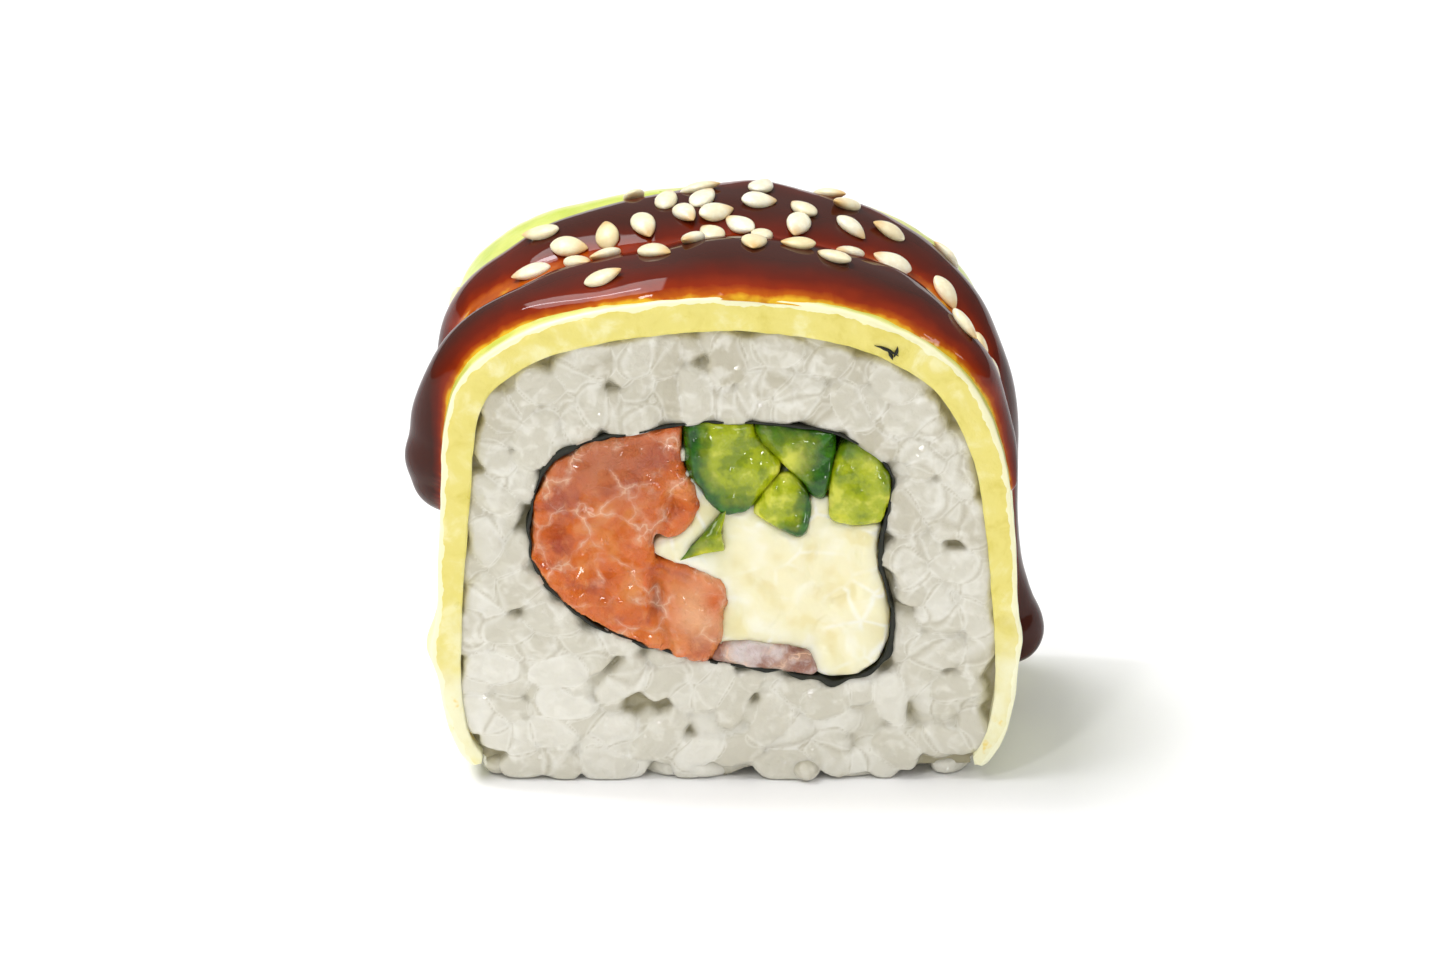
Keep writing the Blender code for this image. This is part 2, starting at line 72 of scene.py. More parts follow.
SEED_SIZE = (3.1, 1.9, 0.95)
SEED_LIFT = 0.22
SEED_SEED = 21
SEED_COUNT = 38
SEED_MIDDLE = (1.0, 0.6)
CROWN_SPREAD = (10.5, 4.0)
SLOPE_SPREAD = (19.0, 5.0)
SEED_REACH = 30.0
SEED_APART = 2.15

# Detail that only the looks have
SAUCE_CELL = 0.22
SAUCE_EDGE = -0.25  # the sauce's sheet ends where it lies this deep in the avocado
SAUCE_FLOOR = -0.5
GRAIN_SIZE = (5.2, 2.7, 2.2)
GRAIN_MESH = (12, 22)  # rings along a grain and points round it
SEED_MESH = (18, 20)
LOOP_SPACING = 0.4
FACE_CELL = 0.2
FACE_THICKNESS = 2.4
KNIFE_SOFT = 0.28  # how softly the knife's plane cuts off the grains
NOTHING = -9.0  # height where there is no grain and no sauce
# Depth of the grains' middles, distance between them, tries and distance from the edges
FACE_LAYERS = ((-0.50, 2.3, 12000, 0.75), (-0.88, 2.0, 9000, 0.6), (-1.20, 1.6, 9000, 0.35))
FACE_FLOOR = -1.3
# How much of the nori shows round the filling: (x, z, reach, width)
NORI_SHOWS = (
    (12.0, 11.5, 4.0, 0.40), (5.0, 9.5, 4.5, 0.32), (-5.0, 11.5, 5.0, 0.24), (-14.5, 18.0, 5.5, 0.26),
    (-12.0, 28.5, 4.0, 0.36), (12.3, 20.0, 4.0, 0.24),
)
NORI_HIDDEN = 0.12  # where less shows, grains hang this far over the nori's edge
CUT_PLANE = 11.9  # distance of the knife's cut from the roll's middle
CORE_HALF = CUT_PLANE - 2.2
UNDER_HALF = (18.0, LENGTH / 2 - 1.6)
UNDER_FLAT = 0.04
VOXEL = 0.32
SHAVING_HALF = 12.05


def smooth_loop(points, spacing):
    """A closed Catmull-Rom curve through the points, as points about spacing apart."""
    knots = np.array(points, float)
    count = len(knots)
    fine = []
    for i in range(count):
        a, b, c, d = (knots[(i + k) % count] for k in (-1, 0, 1, 2))
        for t in np.linspace(0, 1, 24, endpoint=False):
            fine.append(0.5 * (2 * b + (c - a) * t + (2 * a - 5 * b + 4 * c - d) * t**2
                               + (3 * b - a - 3 * c + d) * t**3))
    return resampled(np.array(fine), spacing)


def resampled(loop, spacing):
    """The closed polyline with evenly spaced points."""
    closed = np.vstack([loop, loop[:1]])
    along = np.concatenate([[0], np.cumsum(np.linalg.norm(np.diff(closed, axis=0), axis=1))])
    count = max(8, round(along[-1] / spacing))
    places = np.linspace(0, along[-1], count, endpoint=False)
    return np.column_stack([np.interp(places, along, closed[:, k]) for k in (0, 1)])


def normals(loop):
    """Unit normals that point out of a closed clockwise loop."""
    along = np.roll(loop, -1, axis=0) - np.roll(loop, 1, axis=0)
    out = np.column_stack([-along[:, 1], along[:, 0]])
    return out / np.linalg.norm(out, axis=1)[:, None]


def grown(loop, distance):
    return loop + normals(loop) * np.reshape(distance, (-1, 1))


class Wrap:
    """The avocado's outer outline, read by the distance along it from the crown."""

    def __init__(self):
        loop = smooth_loop(WRAP_OUTLINE, LOOP_SPACING)
        self.loop = np.roll(loop, -np.argmax(loop[:, 1]), axis=0)
        self.out = normals(self.loop)
        steps = np.linalg.norm(np.roll(self.loop, -1, axis=0) - self.loop, axis=1)
        self.girth = steps.sum()
        self.along = np.concatenate([[0], np.cumsum(steps)[:-1]])
        half = len(loop) // 2
        off = abs(self.loop[:, 1] - AVOCADO_LIFT)
        self.right_end = self.along[np.argmin(off[:half])]
        self.left_end = self.along[half + np.argmin(off[half:])] - self.girth

    def at(self, distance):
        """(points, outward normals) of the cross-section at distances from the crown."""
        place = np.mod(distance, self.girth)
        columns = [np.interp(place, self.along, column, period=self.girth)
                   for column in (*self.loop.T, *self.out.T)]
        point, out = np.stack(columns[:2], axis=-1), np.stack(columns[2:], axis=-1)
        return point, out / np.linalg.norm(out, axis=-1, keepdims=True)

    def thickness(self, distance):
        """The avocado thins towards its lower ends."""
        end = np.where(distance > 0, self.right_end, -self.left_end)
        share = np.minimum(1.0, abs(distance) / end)
        return AVOCADO_TOP + (AVOCADO_FOOT - AVOCADO_TOP) * share**2.2


def stream_values(stations, distance):
    """A stream's (centre in Y, half-width, crest) at each distance, on a smooth curve."""
    table = np.array(stations)
    places = table[:, 0]
    slopes = np.gradient(table[:, 1:], places, axis=0)
    i = np.clip(np.searchsorted(places, distance) - 1, 0, len(places) - 2)
    span = (places[i + 1] - places[i])[..., None]
    t = np.clip((distance - places[i])[..., None] / span, 0, 1)
    return ((2 * t**3 - 3 * t**2 + 1) * table[i, 1:] + (t**3 - 2 * t**2 + t) * span * slopes[i]
            + (3 * t**2 - 2 * t**3) * table[i + 1, 1:] + (t**3 - t**2) * span * slopes[i + 1])


def dome(offset, crest):
    """Height of a rounded bead at offset half-widths from its middle, sinking away outside it."""
    inside = 1 - offset * offset
    return np.where(inside > 0, crest * np.maximum(inside, 0)**DOME_POWER, crest * inside)


def sauce_height(distance, y):
    """How far the sauce stands above the avocado, negative where there is none."""
    total = np.exp(NOTHING / SAUCE_BLEND)
    for stations in (FRONT_STREAM, BACK_STREAM, FILM):
        values = stream_values(stations, distance)
        centre, half_width, crest = values[..., 0], values[..., 1], values[..., 2]
        beyond = np.maximum(np.maximum(stations[0][0] - distance, distance - stations[-1][0]), 0)
        total = total + np.exp(dome(np.hypot(y - centre, beyond) / half_width, crest) / SAUCE_BLEND)
    for place, centre, radius, crest in DROPS:
        total = total + np.exp(dome(np.hypot(distance - place, y - centre) / radius, crest) / SAUCE_BLEND)
    return SAUCE_BLEND * np.log(total)


def noise_at(points, size, shift=0.0):
    """Smooth noise from -1 to 1 at an array of points in millimetres, with features of that size."""
    flat = points.reshape(-1, 3) / size + shift
    return np.array([noise.noise(Vector(p)) for p in flat]).reshape(points.shape[:-1])


def stacked(x, y, z):
    """Points from three arrays or numbers, stretched to the same shape."""
    return np.stack(np.broadcast_arrays(x, y, z), axis=-1)


def lengthways(section, y=0.0):
    """Points (x, z) of the cross-section, or directions in it, at a place along the roll."""
    return stacked(section[..., 0], y, section[..., 1])


def placed(name, data):
    """A new object in the scene."""
    made = bpy.data.objects.new(name, data)
    bpy.context.scene.collection.objects.link(made)
    return made


def evaluated(thing):
    """The mesh of an object after its modifiers."""
    bpy.context.view_layer.update()
    return bpy.data.meshes.new_from_object(thing.evaluated_get(bpy.context.evaluated_depsgraph_get()))


def set_floats(mesh, floats):
    """Adds one attribute for each name in floats, with a value for every vertex."""
    for key, values in floats.items():
        layer = mesh.attributes.new(key, "FLOAT", "POINT")
        layer.data.foreach_set("value", np.asarray(values, np.float32).ravel())


def mesh_object(name, points, faces, floats=None):
    """A smooth-shaded mesh of points in millimetres, with its attributes."""
    mesh = bpy.data.meshes.new(name)
    mesh.from_pydata((np.asarray(points) * MM).tolist(), [], faces)
    mesh.update()
    mesh.shade_smooth()
    set_floats(mesh, floats or {})
    return placed(name, mesh)


def finish_piece(piece, finish, node):
    """Gives a piece its material, hangs it on the root body and hides the part it replaces."""
    piece.data.materials.clear()
    piece.data.materials.append(finish)
    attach(piece, "root")
    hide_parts(node)


# Materials

class Nodes:
    """A node tree that is put together socket by socket."""

    def __init__(self, tree):
        self.tree = tree

    def add(self, kind, **settings):
        made = self.tree.nodes.new(kind)
        for key, value in settings.items():
            setattr(made, key, value)
        return made

    def join(self, source, target):
        self.tree.links.new(source, target)

    def feed(self, node, values):
        """Joins each value that is a socket to its input, and sets the other inputs."""
        for key, value in values.items():
            target = node.inputs[key]
            if isinstance(value, bpy.types.NodeSocket):
                self.join(value, target)
            else:
                target.default_value = (*value, 1) if target.type == "RGBA" else value
        return node

    def math(self, kind, first, second=0.0):
        return self.feed(self.add("ShaderNodeMath", operation=kind), {0: first, 1: second}).outputs[0]


class Shader(Nodes):
    """A Principled material whose colour is laid on in layers."""

    def __init__(self, name, **values):
        self.material = bpy.data.materials.new(name)
        self.material.use_nodes = True
        super().__init__(self.material.node_tree)
        self.surface = self.tree.nodes["Principled BSDF"]
        self.place = self.add("ShaderNodeTexCoord").outputs["Object"]
        for key, value in values.items():
            self.surface.inputs[key.replace("_", " ")].default_value = value

    def attribute(self, name):
        return self.add("ShaderNodeAttribute", attribute_name=name).outputs["Fac"]

    def noise(self, size, detail=3.0, roughness=0.5, distortion=0.0, output="Fac"):
        """Noise from 0 to 1 with features of that many millimetres."""
        values = {"Vector": self.place, "Scale": 1 / (size * MM), "Detail": detail, "Roughness": roughness,
                  "Distortion": distortion}
        return self.feed(self.add("ShaderNodeTexNoise"), values).outputs[output]

    def walls(self, size, place):
        """Distance from the walls between uneven cells of that many millimetres."""
        made = self.add("ShaderNodeTexVoronoi", feature="DISTANCE_TO_EDGE")
        return self.feed(made, {"Vector": place, "Scale": 1 / (size * MM)}).outputs["Distance"]

    def ramp(self, factor, *stops, ease="EASE"):
        """A colour for a factor: stops are (place, colour), with a grey written as one number."""
        made = self.add("ShaderNodeValToRGB")
        made.color_ramp.interpolation = ease
        for i, (place, colour) in enumerate(stops):
            points = made.color_ramp.elements
            point = points[i] if i < 2 else points.new(place)
            point.position = place
            point.color = (*colour, 1) if isinstance(colour, tuple) else (colour, colour, colour, 1)
        self.join(factor, made.inputs["Fac"])
        return made.outputs["Color"]

    def mix(self, factor, first, second, blend="MIX"):
        made = self.add("ShaderNodeMix", data_type="RGBA", blend_type=blend)
        return self.feed(made, {0: factor, 6: first, 7: second}).outputs[2]

    def swing(self, amount, *settings):
        """Noise round zero, that much from its lowest to its highest."""
        return self.math("MULTIPLY", self.math("SUBTRACT", self.noise(*settings), 0.5), amount)

    def colour(self, source):
        self.top = source
        self.join(source, self.surface.inputs["Base Color"])

    def base(self, factor, *stops, ease="EASE"):
        """The first layer of colour."""
        self.colour(self.ramp(factor, *stops, ease=ease))

    def over(self, factor, colour, *stops):
        """One more layer, as dense as the factor says, or as a ramp of it says."""
        factor = self.ramp(factor, *stops) if stops else factor
        self.colour(self.mix(factor, self.top, colour))

    def rough(self, source, low, high):
        """Roughness between low and high by a factor."""
        made = self.feed(self.add("ShaderNodeMapRange"), {"Value": source, "To Min": low, "To Max": high})
        self.join(made.outputs["Result"], self.surface.inputs["Roughness"])

    def bump(self, height, depth, strength=1.0, target="Normal"):
        """Relief of that many millimetres."""
        values = {"Distance": depth * MM, "Strength": strength, "Height": height}
        made = self.feed(self.add("ShaderNodeBump"), values)
        self.join(made.outputs["Normal"], self.surface.inputs[target])

    def wet(self, size, depth):
        """A smooth, wavy film of moisture over the relief, as bump of the coat alone."""
        self.bump(self.noise(size, 0.0), depth, target="Coat Normal")


def soft(weight, reach, tint):
    """Sockets of light that goes a few millimetres into food."""
    return {"Subsurface_Weight": weight, "Subsurface_Radius": tint, "Subsurface_Scale": reach * MM}


WET_COAT = {"Coat_Weight": 1.0, "Coat_Roughness": 0.04, "Coat_IOR": 1.4, "Specular_IOR_Level": 0.1}


def rice_material():
    shader = Shader("cooked_rice", **soft(0.35, 1.0, (1.0, 0.95, 0.82)),
                    Coat_Weight=0.8, Coat_Roughness=0.06)
    # tone is each grain's own random tone, on the cut faces mixed with painted shade that darkens the rice
    # towards the top.
    shader.base(shader.attribute("tone"),
                (0.0, (0.50, 0.46, 0.34)), (0.5, (0.61, 0.58, 0.47)), (1.0, (0.76, 0.74, 0.65)))
    shader.over(shader.noise(1.4, 2.0, 0.5, 0.6), (0.80, 0.78, 0.69), (0.45, 0.0), (0.72, 0.6))
    crease = shader.attribute("crease")
    # Painted highlight: a pale band beside each crease between grains, as if light shone through the
    # grains' edges.
    shader.over(crease, (0.87, 0.86, 0.79), (0.50, 0.0), (0.78, 0.28), (0.92, 0.0))
    # Painted shade: the creases where grains meet are darkened.
    shader.over(crease, (0.46, 0.42, 0.31), (0.88, 0.0), (1.0, 0.50))
    # Painted shade: the deeper the rice lies, the darker olive it is made, as the gaps between grains and
    # the core seen through them fall in shade.
    shader.over(shader.attribute("depth"), (0.36, 0.32, 0.19), (0.22, 0.0), (1.0, 0.95))
    shader.rough(shader.noise(0.9, 3.0), 0.22, 0.42)
    shader.bump(shader.noise(1.3, 3.0, 0.5), 0.28)
    shader.wet(1.3, 1.6)
    return shader.material


def nori_material():
    shader = Shader("nori_sheet", Specular_IOR_Level=0.4)
    patches = shader.noise(1.6, 4.0, 0.6, 0.4)
    shader.base(patches,
                (0.3, (0.006, 0.008, 0.004)), (0.6, (0.014, 0.016, 0.007)), (0.85, (0.07, 0.06, 0.018)))
    shader.rough(patches, 0.35, 0.65)
    shader.bump(shader.noise(0.25, 4.0, 0.7), 0.08)
    return shader.material


def salmon_material(name, flesh, dark, pale):
    shader = Shader(name, **soft(0.25, 1.5, (1.0, 0.40, 0.18)), **WET_COAT)
    shader.base(shader.noise(4.0, 3.0, 0.5, 0.5), (0.34, dark), (0.50, flesh), (0.70, pale))
    shader.over(shader.noise(1.0, 4.0, 0.6, 0.5), pale, (0.45, 0.0), (0.8, 0.7))
    shader.over(shader.attribute("brown"), (0.42, 0.12, 0.05))
    shader.over(shader.attribute("fold"), (0.80, 0.40, 0.20))
    shader.over(shader.attribute("spot"), (0.66, 0.13, 0.02))
    bent = shader.add("ShaderNodeVectorMath", operation="MULTIPLY_ADD")
    shader.feed(bent, {0: shader.noise(2.6, 4.0, output="Color"), 1: (3.4 * MM,) * 3, 2: shader.place})
    streak = shader.ramp(shader.walls(3.4, bent.outputs["Vector"]), (0.0, 0.75), (0.03, 0.30), (0.12, 0.0))
    patchy = shader.ramp(shader.noise(3.0, 2.0), (0.42, 0.0), (0.62, 1.0))
    shader.over(shader.mix(1.0, streak, patchy, "MULTIPLY"), (0.86, 0.58, 0.40))
    shader.rough(shader.noise(1.2, 3.0), 0.10, 0.30)
    shader.bump(shader.noise(0.9, 4.0, 0.6, 0.4), 0.5)
    shader.wet(1.9, 2.0)
    return shader.material


def cucumber_material():
    shader = Shader("cucumber_flesh", **soft(0.25, 1.5, (0.8, 1.0, 0.25)), **WET_COAT)
    shader.base(shader.noise(1.8, 3.0, 0.55),
                (0.34, (0.20, 0.27, 0.002)), (0.50, (0.36, 0.42, 0.004)), (0.68, (0.62, 0.63, 0.06)))
    skin = shader.ramp(shader.noise(0.8, 3.0), (0.3, (0.006, 0.06, 0.001)), (0.75, (0.03, 0.16, 0.002)))
    amount = shader.math("ADD", shader.attribute("skin"), shader.swing(0.35, 1.1, 3.0))
    shader.over(amount, skin, (0.08, 0.0), (0.45, 0.55), (0.80, 1.0))
    shader.rough(shader.noise(1.0, 2.0), 0.10, 0.28)
    shader.bump(shader.noise(1.4, 3.0, 0.55), 0.4)
    shader.wet(2.2, 2.0)
    return shader.material


def cream_material():
    shader = Shader("cream_cheese", **soft(0.5, 2.2, (1.0, 0.9, 0.6)),
                    Coat_Weight=0.35, Coat_Roughness=0.15)
    shader.base(shader.noise(3.0, 2.0, 0.5, 0.5),
                (0.32, (0.84, 0.75, 0.40)), (0.50, (0.89, 0.83, 0.54)), (0.70, (0.93, 0.89, 0.68)))
    rim = shader.ramp(shader.walls(3.2, shader.place), (0.0, 0.6), (0.09, 0.0))
    patchy = shader.ramp(shader.noise(3.5, 1.0), (0.45, 0.0), (0.6, 1.0))
    shader.over(shader.mix(1.0, rim, patchy, "MULTIPLY"), (0.97, 0.95, 0.85))
    shader.rough(shader.noise(1.5, 3.0), 0.28, 0.50)
    shader.bump(shader.noise(1.4, 3.0, 0.5), 0.15)
    return shader.material


def avocado_material():
    shader = Shader("avocado", **soft(0.15, 1.5, (1.0, 0.9, 0.5)), Coat_Weight=0.25, Coat_Roughness=0.15)
    foot = shader.attribute("foot")
    shader.base(shader.noise(2.6, 4.0, 0.55, 0.4),
                (0.28, (0.70, 0.59, 0.09)), (0.50, (0.79, 0.69, 0.17)), (0.74, (0.88, 0.82, 0.40)))
    cream = shader.math("MULTIPLY", foot, shader.noise(3.0, 3.0))
    shader.over(cream, (0.90, 0.88, 0.62), (0.15, 0.0), (0.5, 0.85))
    gold = shader.math("MULTIPLY", foot, shader.noise(1.3, 2.0))
    shader.over(gold, (0.86, 0.62, 0.03), (0.60, 0.0), (0.70, 0.7))
    # Painted highlight: the outer edge of the cut face is made creamy white, where the edge catches the
    # light.
    rim = shader.math("ADD", shader.attribute("rim"), shader.noise(2.0, 3.0))
    shader.over(rim, (0.94, 0.93, 0.66), (0.95, 0.0), (1.35, 0.75))
    lime = shader.ramp(shader.noise(3.5, 3.0, 0.5), (0.30, (0.52, 0.64, 0.07)), (0.70, (0.70, 0.76, 0.18)))
    lime = shader.mix(shader.ramp(foot, (0.1, 0.0), (0.9, 0.7)), lime, (0.86, 0.86, 0.50))
    shader.over(shader.attribute("skin"), lime)
    shader.rough(shader.noise(1.3, 3.0), 0.22, 0.42)
    shader.bump(shader.noise(0.5, 4.0, 0.6), 0.07)
    return shader.material


def sauce_material():
    shader = Shader("dark_sauce",
                    Coat_Weight=0.65, Coat_Roughness=0.02, Coat_IOR=1.4, Specular_IOR_Level=0.0)
    depth = shader.math("ADD", shader.attribute("depth"), shader.swing(0.30, 2.2, 3.0, 0.5, 0.3))
    shader.base(depth, (0.0, (0.74, 0.42, 0.02)), (0.07, (0.46, 0.09, 0.002)), (0.20, (0.24, 0.020, 0.001)),
                (0.42, (0.12, 0.010, 0.002)), (0.80, (0.050, 0.010, 0.005)), ease="LINEAR")
    shader.rough(shader.noise(1.6, 3.0), 0.05, 0.12)
    shader.bump(shader.noise(3.0, 2.0, 0.4), 0.08, 0.6)
    return shader.material


def seed_material():
    shader = Shader("sesame", **soft(0.3, 0.8, (1.0, 0.85, 0.5)), Coat_Weight=0.2, Coat_Roughness=0.2)
    shader.base(shader.attribute("tone"),
                (0.0, (0.82, 0.68, 0.36)), (0.35, (0.90, 0.82, 0.56)), (1.0, (0.94, 0.91, 0.72)))
    shader.over(shader.noise(0.4, 3.0), (0.68, 0.50, 0.20), (0.35, 0.25), (0.7, 0.0))
    shader.over(shader.attribute("along"), (0.66, 0.36, 0.07), (0.62, 0.0), (1.0, 0.75))
    shader.rough(shader.noise(0.6, 2.0), 0.26, 0.42)
    shader.bump(shader.noise(0.18, 3.0, 0.6), 0.03)
    return shader.material


# Rice

def bead(rings, around, girth, roundness=1.0):
    """Points and faces of a bead of length 1 along X, with its girth at each share of the length."""
    share = (1 - np.cos(np.linspace(0, math.pi, rings + 2)[1:-1]))[:, None] / 2
    angle = np.linspace(0, 2 * math.pi, around, endpoint=False)
    wide, high = np.cos(angle), np.sign(np.sin(angle)) * abs(np.sin(angle))**roundness
    ring = stacked(share - 0.5, girth(share) * wide / 2, girth(share) * high / 2).reshape(-1, 3)
    points = np.vstack([ring, [[-0.5, 0, 0], [0.5, 0, 0]]])
    faces = []
    for i in range(rings - 1):
        for j in range(around):
            k = (j + 1) % around
            faces.append((i * around + j, i * around + k, (i + 1) * around + k, (i + 1) * around + j))
    first, last = rings * around, rings * around + 1
    for j in range(around):
        k = (j + 1) % around
        faces.append((first, k, j))
        faces.append((last, (rings - 1) * around + j, (rings - 1) * around + k))
    return points, faces


def joined(beads, faces):
    """The points and faces of one mesh from the points of beads that have the same faces."""
    count = len(beads[0])
    moved = [tuple(v + i * count for v in face) for i in range(len(beads)) for face in faces]
    return np.vstack(beads), moved


def inside(loop, points):
    """Whether a closed loop holds each point."""
    x, z = points[..., 0:1], points[..., 1:2]
    ahead = np.roll(loop, -1, axis=0)
    crosses = (loop[:, 1] > z) != (ahead[:, 1] > z)
    rise = np.where(crosses, ahead[:, 1] - loop[:, 1], 1.0)
    reach = loop[:, 0] + (z - loop[:, 1]) * (ahead[:, 0] - loop[:, 0]) / rise
    return (crosses & (x < reach)).sum(axis=-1) % 2 == 1


def scattered(draw, allowed, box, apart, tries, margin_to, margin):
    """(x, z, angle, length) of grains in a region, each axis at least apart from the others'."""
    (low_x, low_z), (high_x, high_z) = box
    width = GRAIN_SIZE[1]
    places = []
    taken = np.empty((0, 2))
    steps = np.linspace(-1, 1, 5)[:, None]

    def near(others, distance):
        return ((others[:, None] - line[None])**2).sum(axis=2).min(initial=np.inf) < distance**2

    for _ in range(tries):
        spot = np.array([draw.uniform(low_x, high_x), draw.uniform(low_z, high_z)])
        angle = draw.uniform(0, math.pi)
        length = GRAIN_SIZE[0] * draw.uniform(0.78, 1.12)
        line = spot + steps * np.array([math.cos(angle), math.sin(angle)]) * (length - width) / 2
        if allowed(spot) and not near(margin_to, margin) and not near(taken, apart):
            places.append((*spot, angle, length))
            taken = np.vstack([taken, line])
    return places


def grain_points(draw, base, length):
    """One grain's own uneven shape, from the plain grain of unit length."""
    width = draw.uniform(0.90, 1.12)
    thick = draw.uniform(0.90, 1.10)
    points = base * np.array([length, width, thick])
    share = points[:, 0] / length
    points[:, 1] += draw.uniform(-0.45, 0.45) * (share**2 * 4 - 0.4)
    points[:, 1:] *= (1 + draw.uniform(-0.28, 0.28) * share)[:, None]
    for _ in range(3):
        wave = np.array([draw.gauss(0, 1) for _ in range(3)])
        wave *= draw.uniform(1.0, 1.9) / np.linalg.norm(wave)
        lump = np.sin(points @ wave + draw.uniform(0, 6.3))
        points *= 1 + 0.045 * lump[:, None]
    return points


def rice_under(draw, finish):
    """A layer of whole grains on the underside, pressed flat against the board."""
    half_x, half_y = UNDER_HALF
    rim = np.array([(sx * (half_x + 1.5), y) for sx in (-1, 1) for y in np.linspace(-12, 12, 30)]
                   + [(x, sy * (half_y + 1.5)) for sy in (-1, 1) for x in np.linspace(-19, 19, 50)])
    places = scattered(draw, lambda spot: True, ((-half_x, -half_y), (half_x, half_y)), 1.8, 3000, rim, 0.6)
    base, faces = bead(*GRAIN_MESH, lambda share: (1 - abs(2 * share - 1)**2.3)**0.5)
    base = base * (1.0, *GRAIN_SIZE[1:])
    grains, tones = [], []
    for x, y, angle, length in places:
        points = grain_points(draw, base, length)
        turn = Matrix.Rotation(-angle, 3, "Y")
        tilt = Matrix.Rotation(draw.uniform(-0.1, 0.1), 3, "Z")
        lean = Matrix.Rotation(draw.uniform(-0.5, 0.5), 3, "X")
        points = (points[:, [0, 2, 1]] @ np.array(turn @ tilt @ lean).T)[:, [0, 2, 1]]
        points = points + np.array([x, y, 0.75 + draw.uniform(-0.1, 0.25)])
        low = UNDER_FLAT - points[:, 2]
        points[:, 2] = np.where(low > 0, UNDER_FLAT - low * UNDER_FLAT, points[:, 2])
        grains.append(points)
        tones.append(np.full(len(points), draw.random()))
    points, faces = joined(grains, faces)
    # depth grows with a grain's height into the roll; the material paints shade by it.
    floats = {"tone": np.concatenate(tones), "depth": np.clip((points[:, 2] - 0.6) / 1.8, 0, 1)}
    finish_piece(mesh_object("rice_under", points, faces, floats), finish, "rice")


def closed_sheet(upper, lower, keep):
    """(points, faces, used) of a solid between two grids of points, over the cells to keep."""
    rows, columns = upper.shape[:2]
    index = np.arange(rows * columns).reshape(rows, columns)
    shift = rows * columns
    padded = np.pad(keep, 1)
    faces = []
    for i, j in np.argwhere(keep):
        a, b, c, e = (int(v) for v in (index[i, j], index[i + 1, j], index[i + 1, j + 1], index[i, j + 1]))
        faces.append((a, b, c, e))
        faces.append((a + shift, e + shift, c + shift, b + shift))
        for beside, first, last in ((padded[i, j + 1], a, e), (padded[i + 2, j + 1], c, b),
                                    (padded[i + 1, j], b, a), (padded[i + 1, j + 2], e, c)):
            if not beside:
                faces.append((first, last, last + shift, first + shift))
    used = np.zeros(2 * shift, bool)
    used[np.array([v for face in faces for v in face])] = True
    renumber = (np.cumsum(used) - 1).tolist()
    points = np.vstack([upper.reshape(-1, 3), lower.reshape(-1, 3)])[used]
    return points, [tuple(renumber[v] for v in face) for face in faces], used


def nori_width(loop, side):
    """How much of the nori shows at each point of the filling's outline, in millimetres."""
    ragged = noise_at(np.column_stack([loop, np.full(len(loop), side)]), 1.5)
    shows = sum(width * np.exp(-((loop - (x, z))**2).sum(axis=1) / reach**2)
                for x, z, reach, width in NORI_SHOWS)
    return np.maximum(-NORI_HIDDEN, shows * (1 + 0.9 * ragged) + 0.10 * ragged - NORI_HIDDEN)


def snapped(x, z, keep, outline):
    """The grid with the points at the edge of the kept ones moved onto the outline beside them."""
    rows, columns = keep.shape
    padded = np.pad(keep, 1)
    whole = np.ones_like(keep)
    for i in range(3):
        for j in range(3):
            whole &= padded[i:i + rows, j:j + columns]
    rim = keep & ~whole
    spots = np.column_stack([x[rim], z[rim]])
    gaps = np.linalg.norm(spots[:, None] - outline[None], axis=2)
    beside = gaps.min(axis=1) < 1.5 * FACE_CELL
    spots[beside] = outline[gaps.argmin(axis=1)[beside]]
    x, z = x.copy(), z.copy()
    x[rim], z[rim] = spots.T
    return x, z


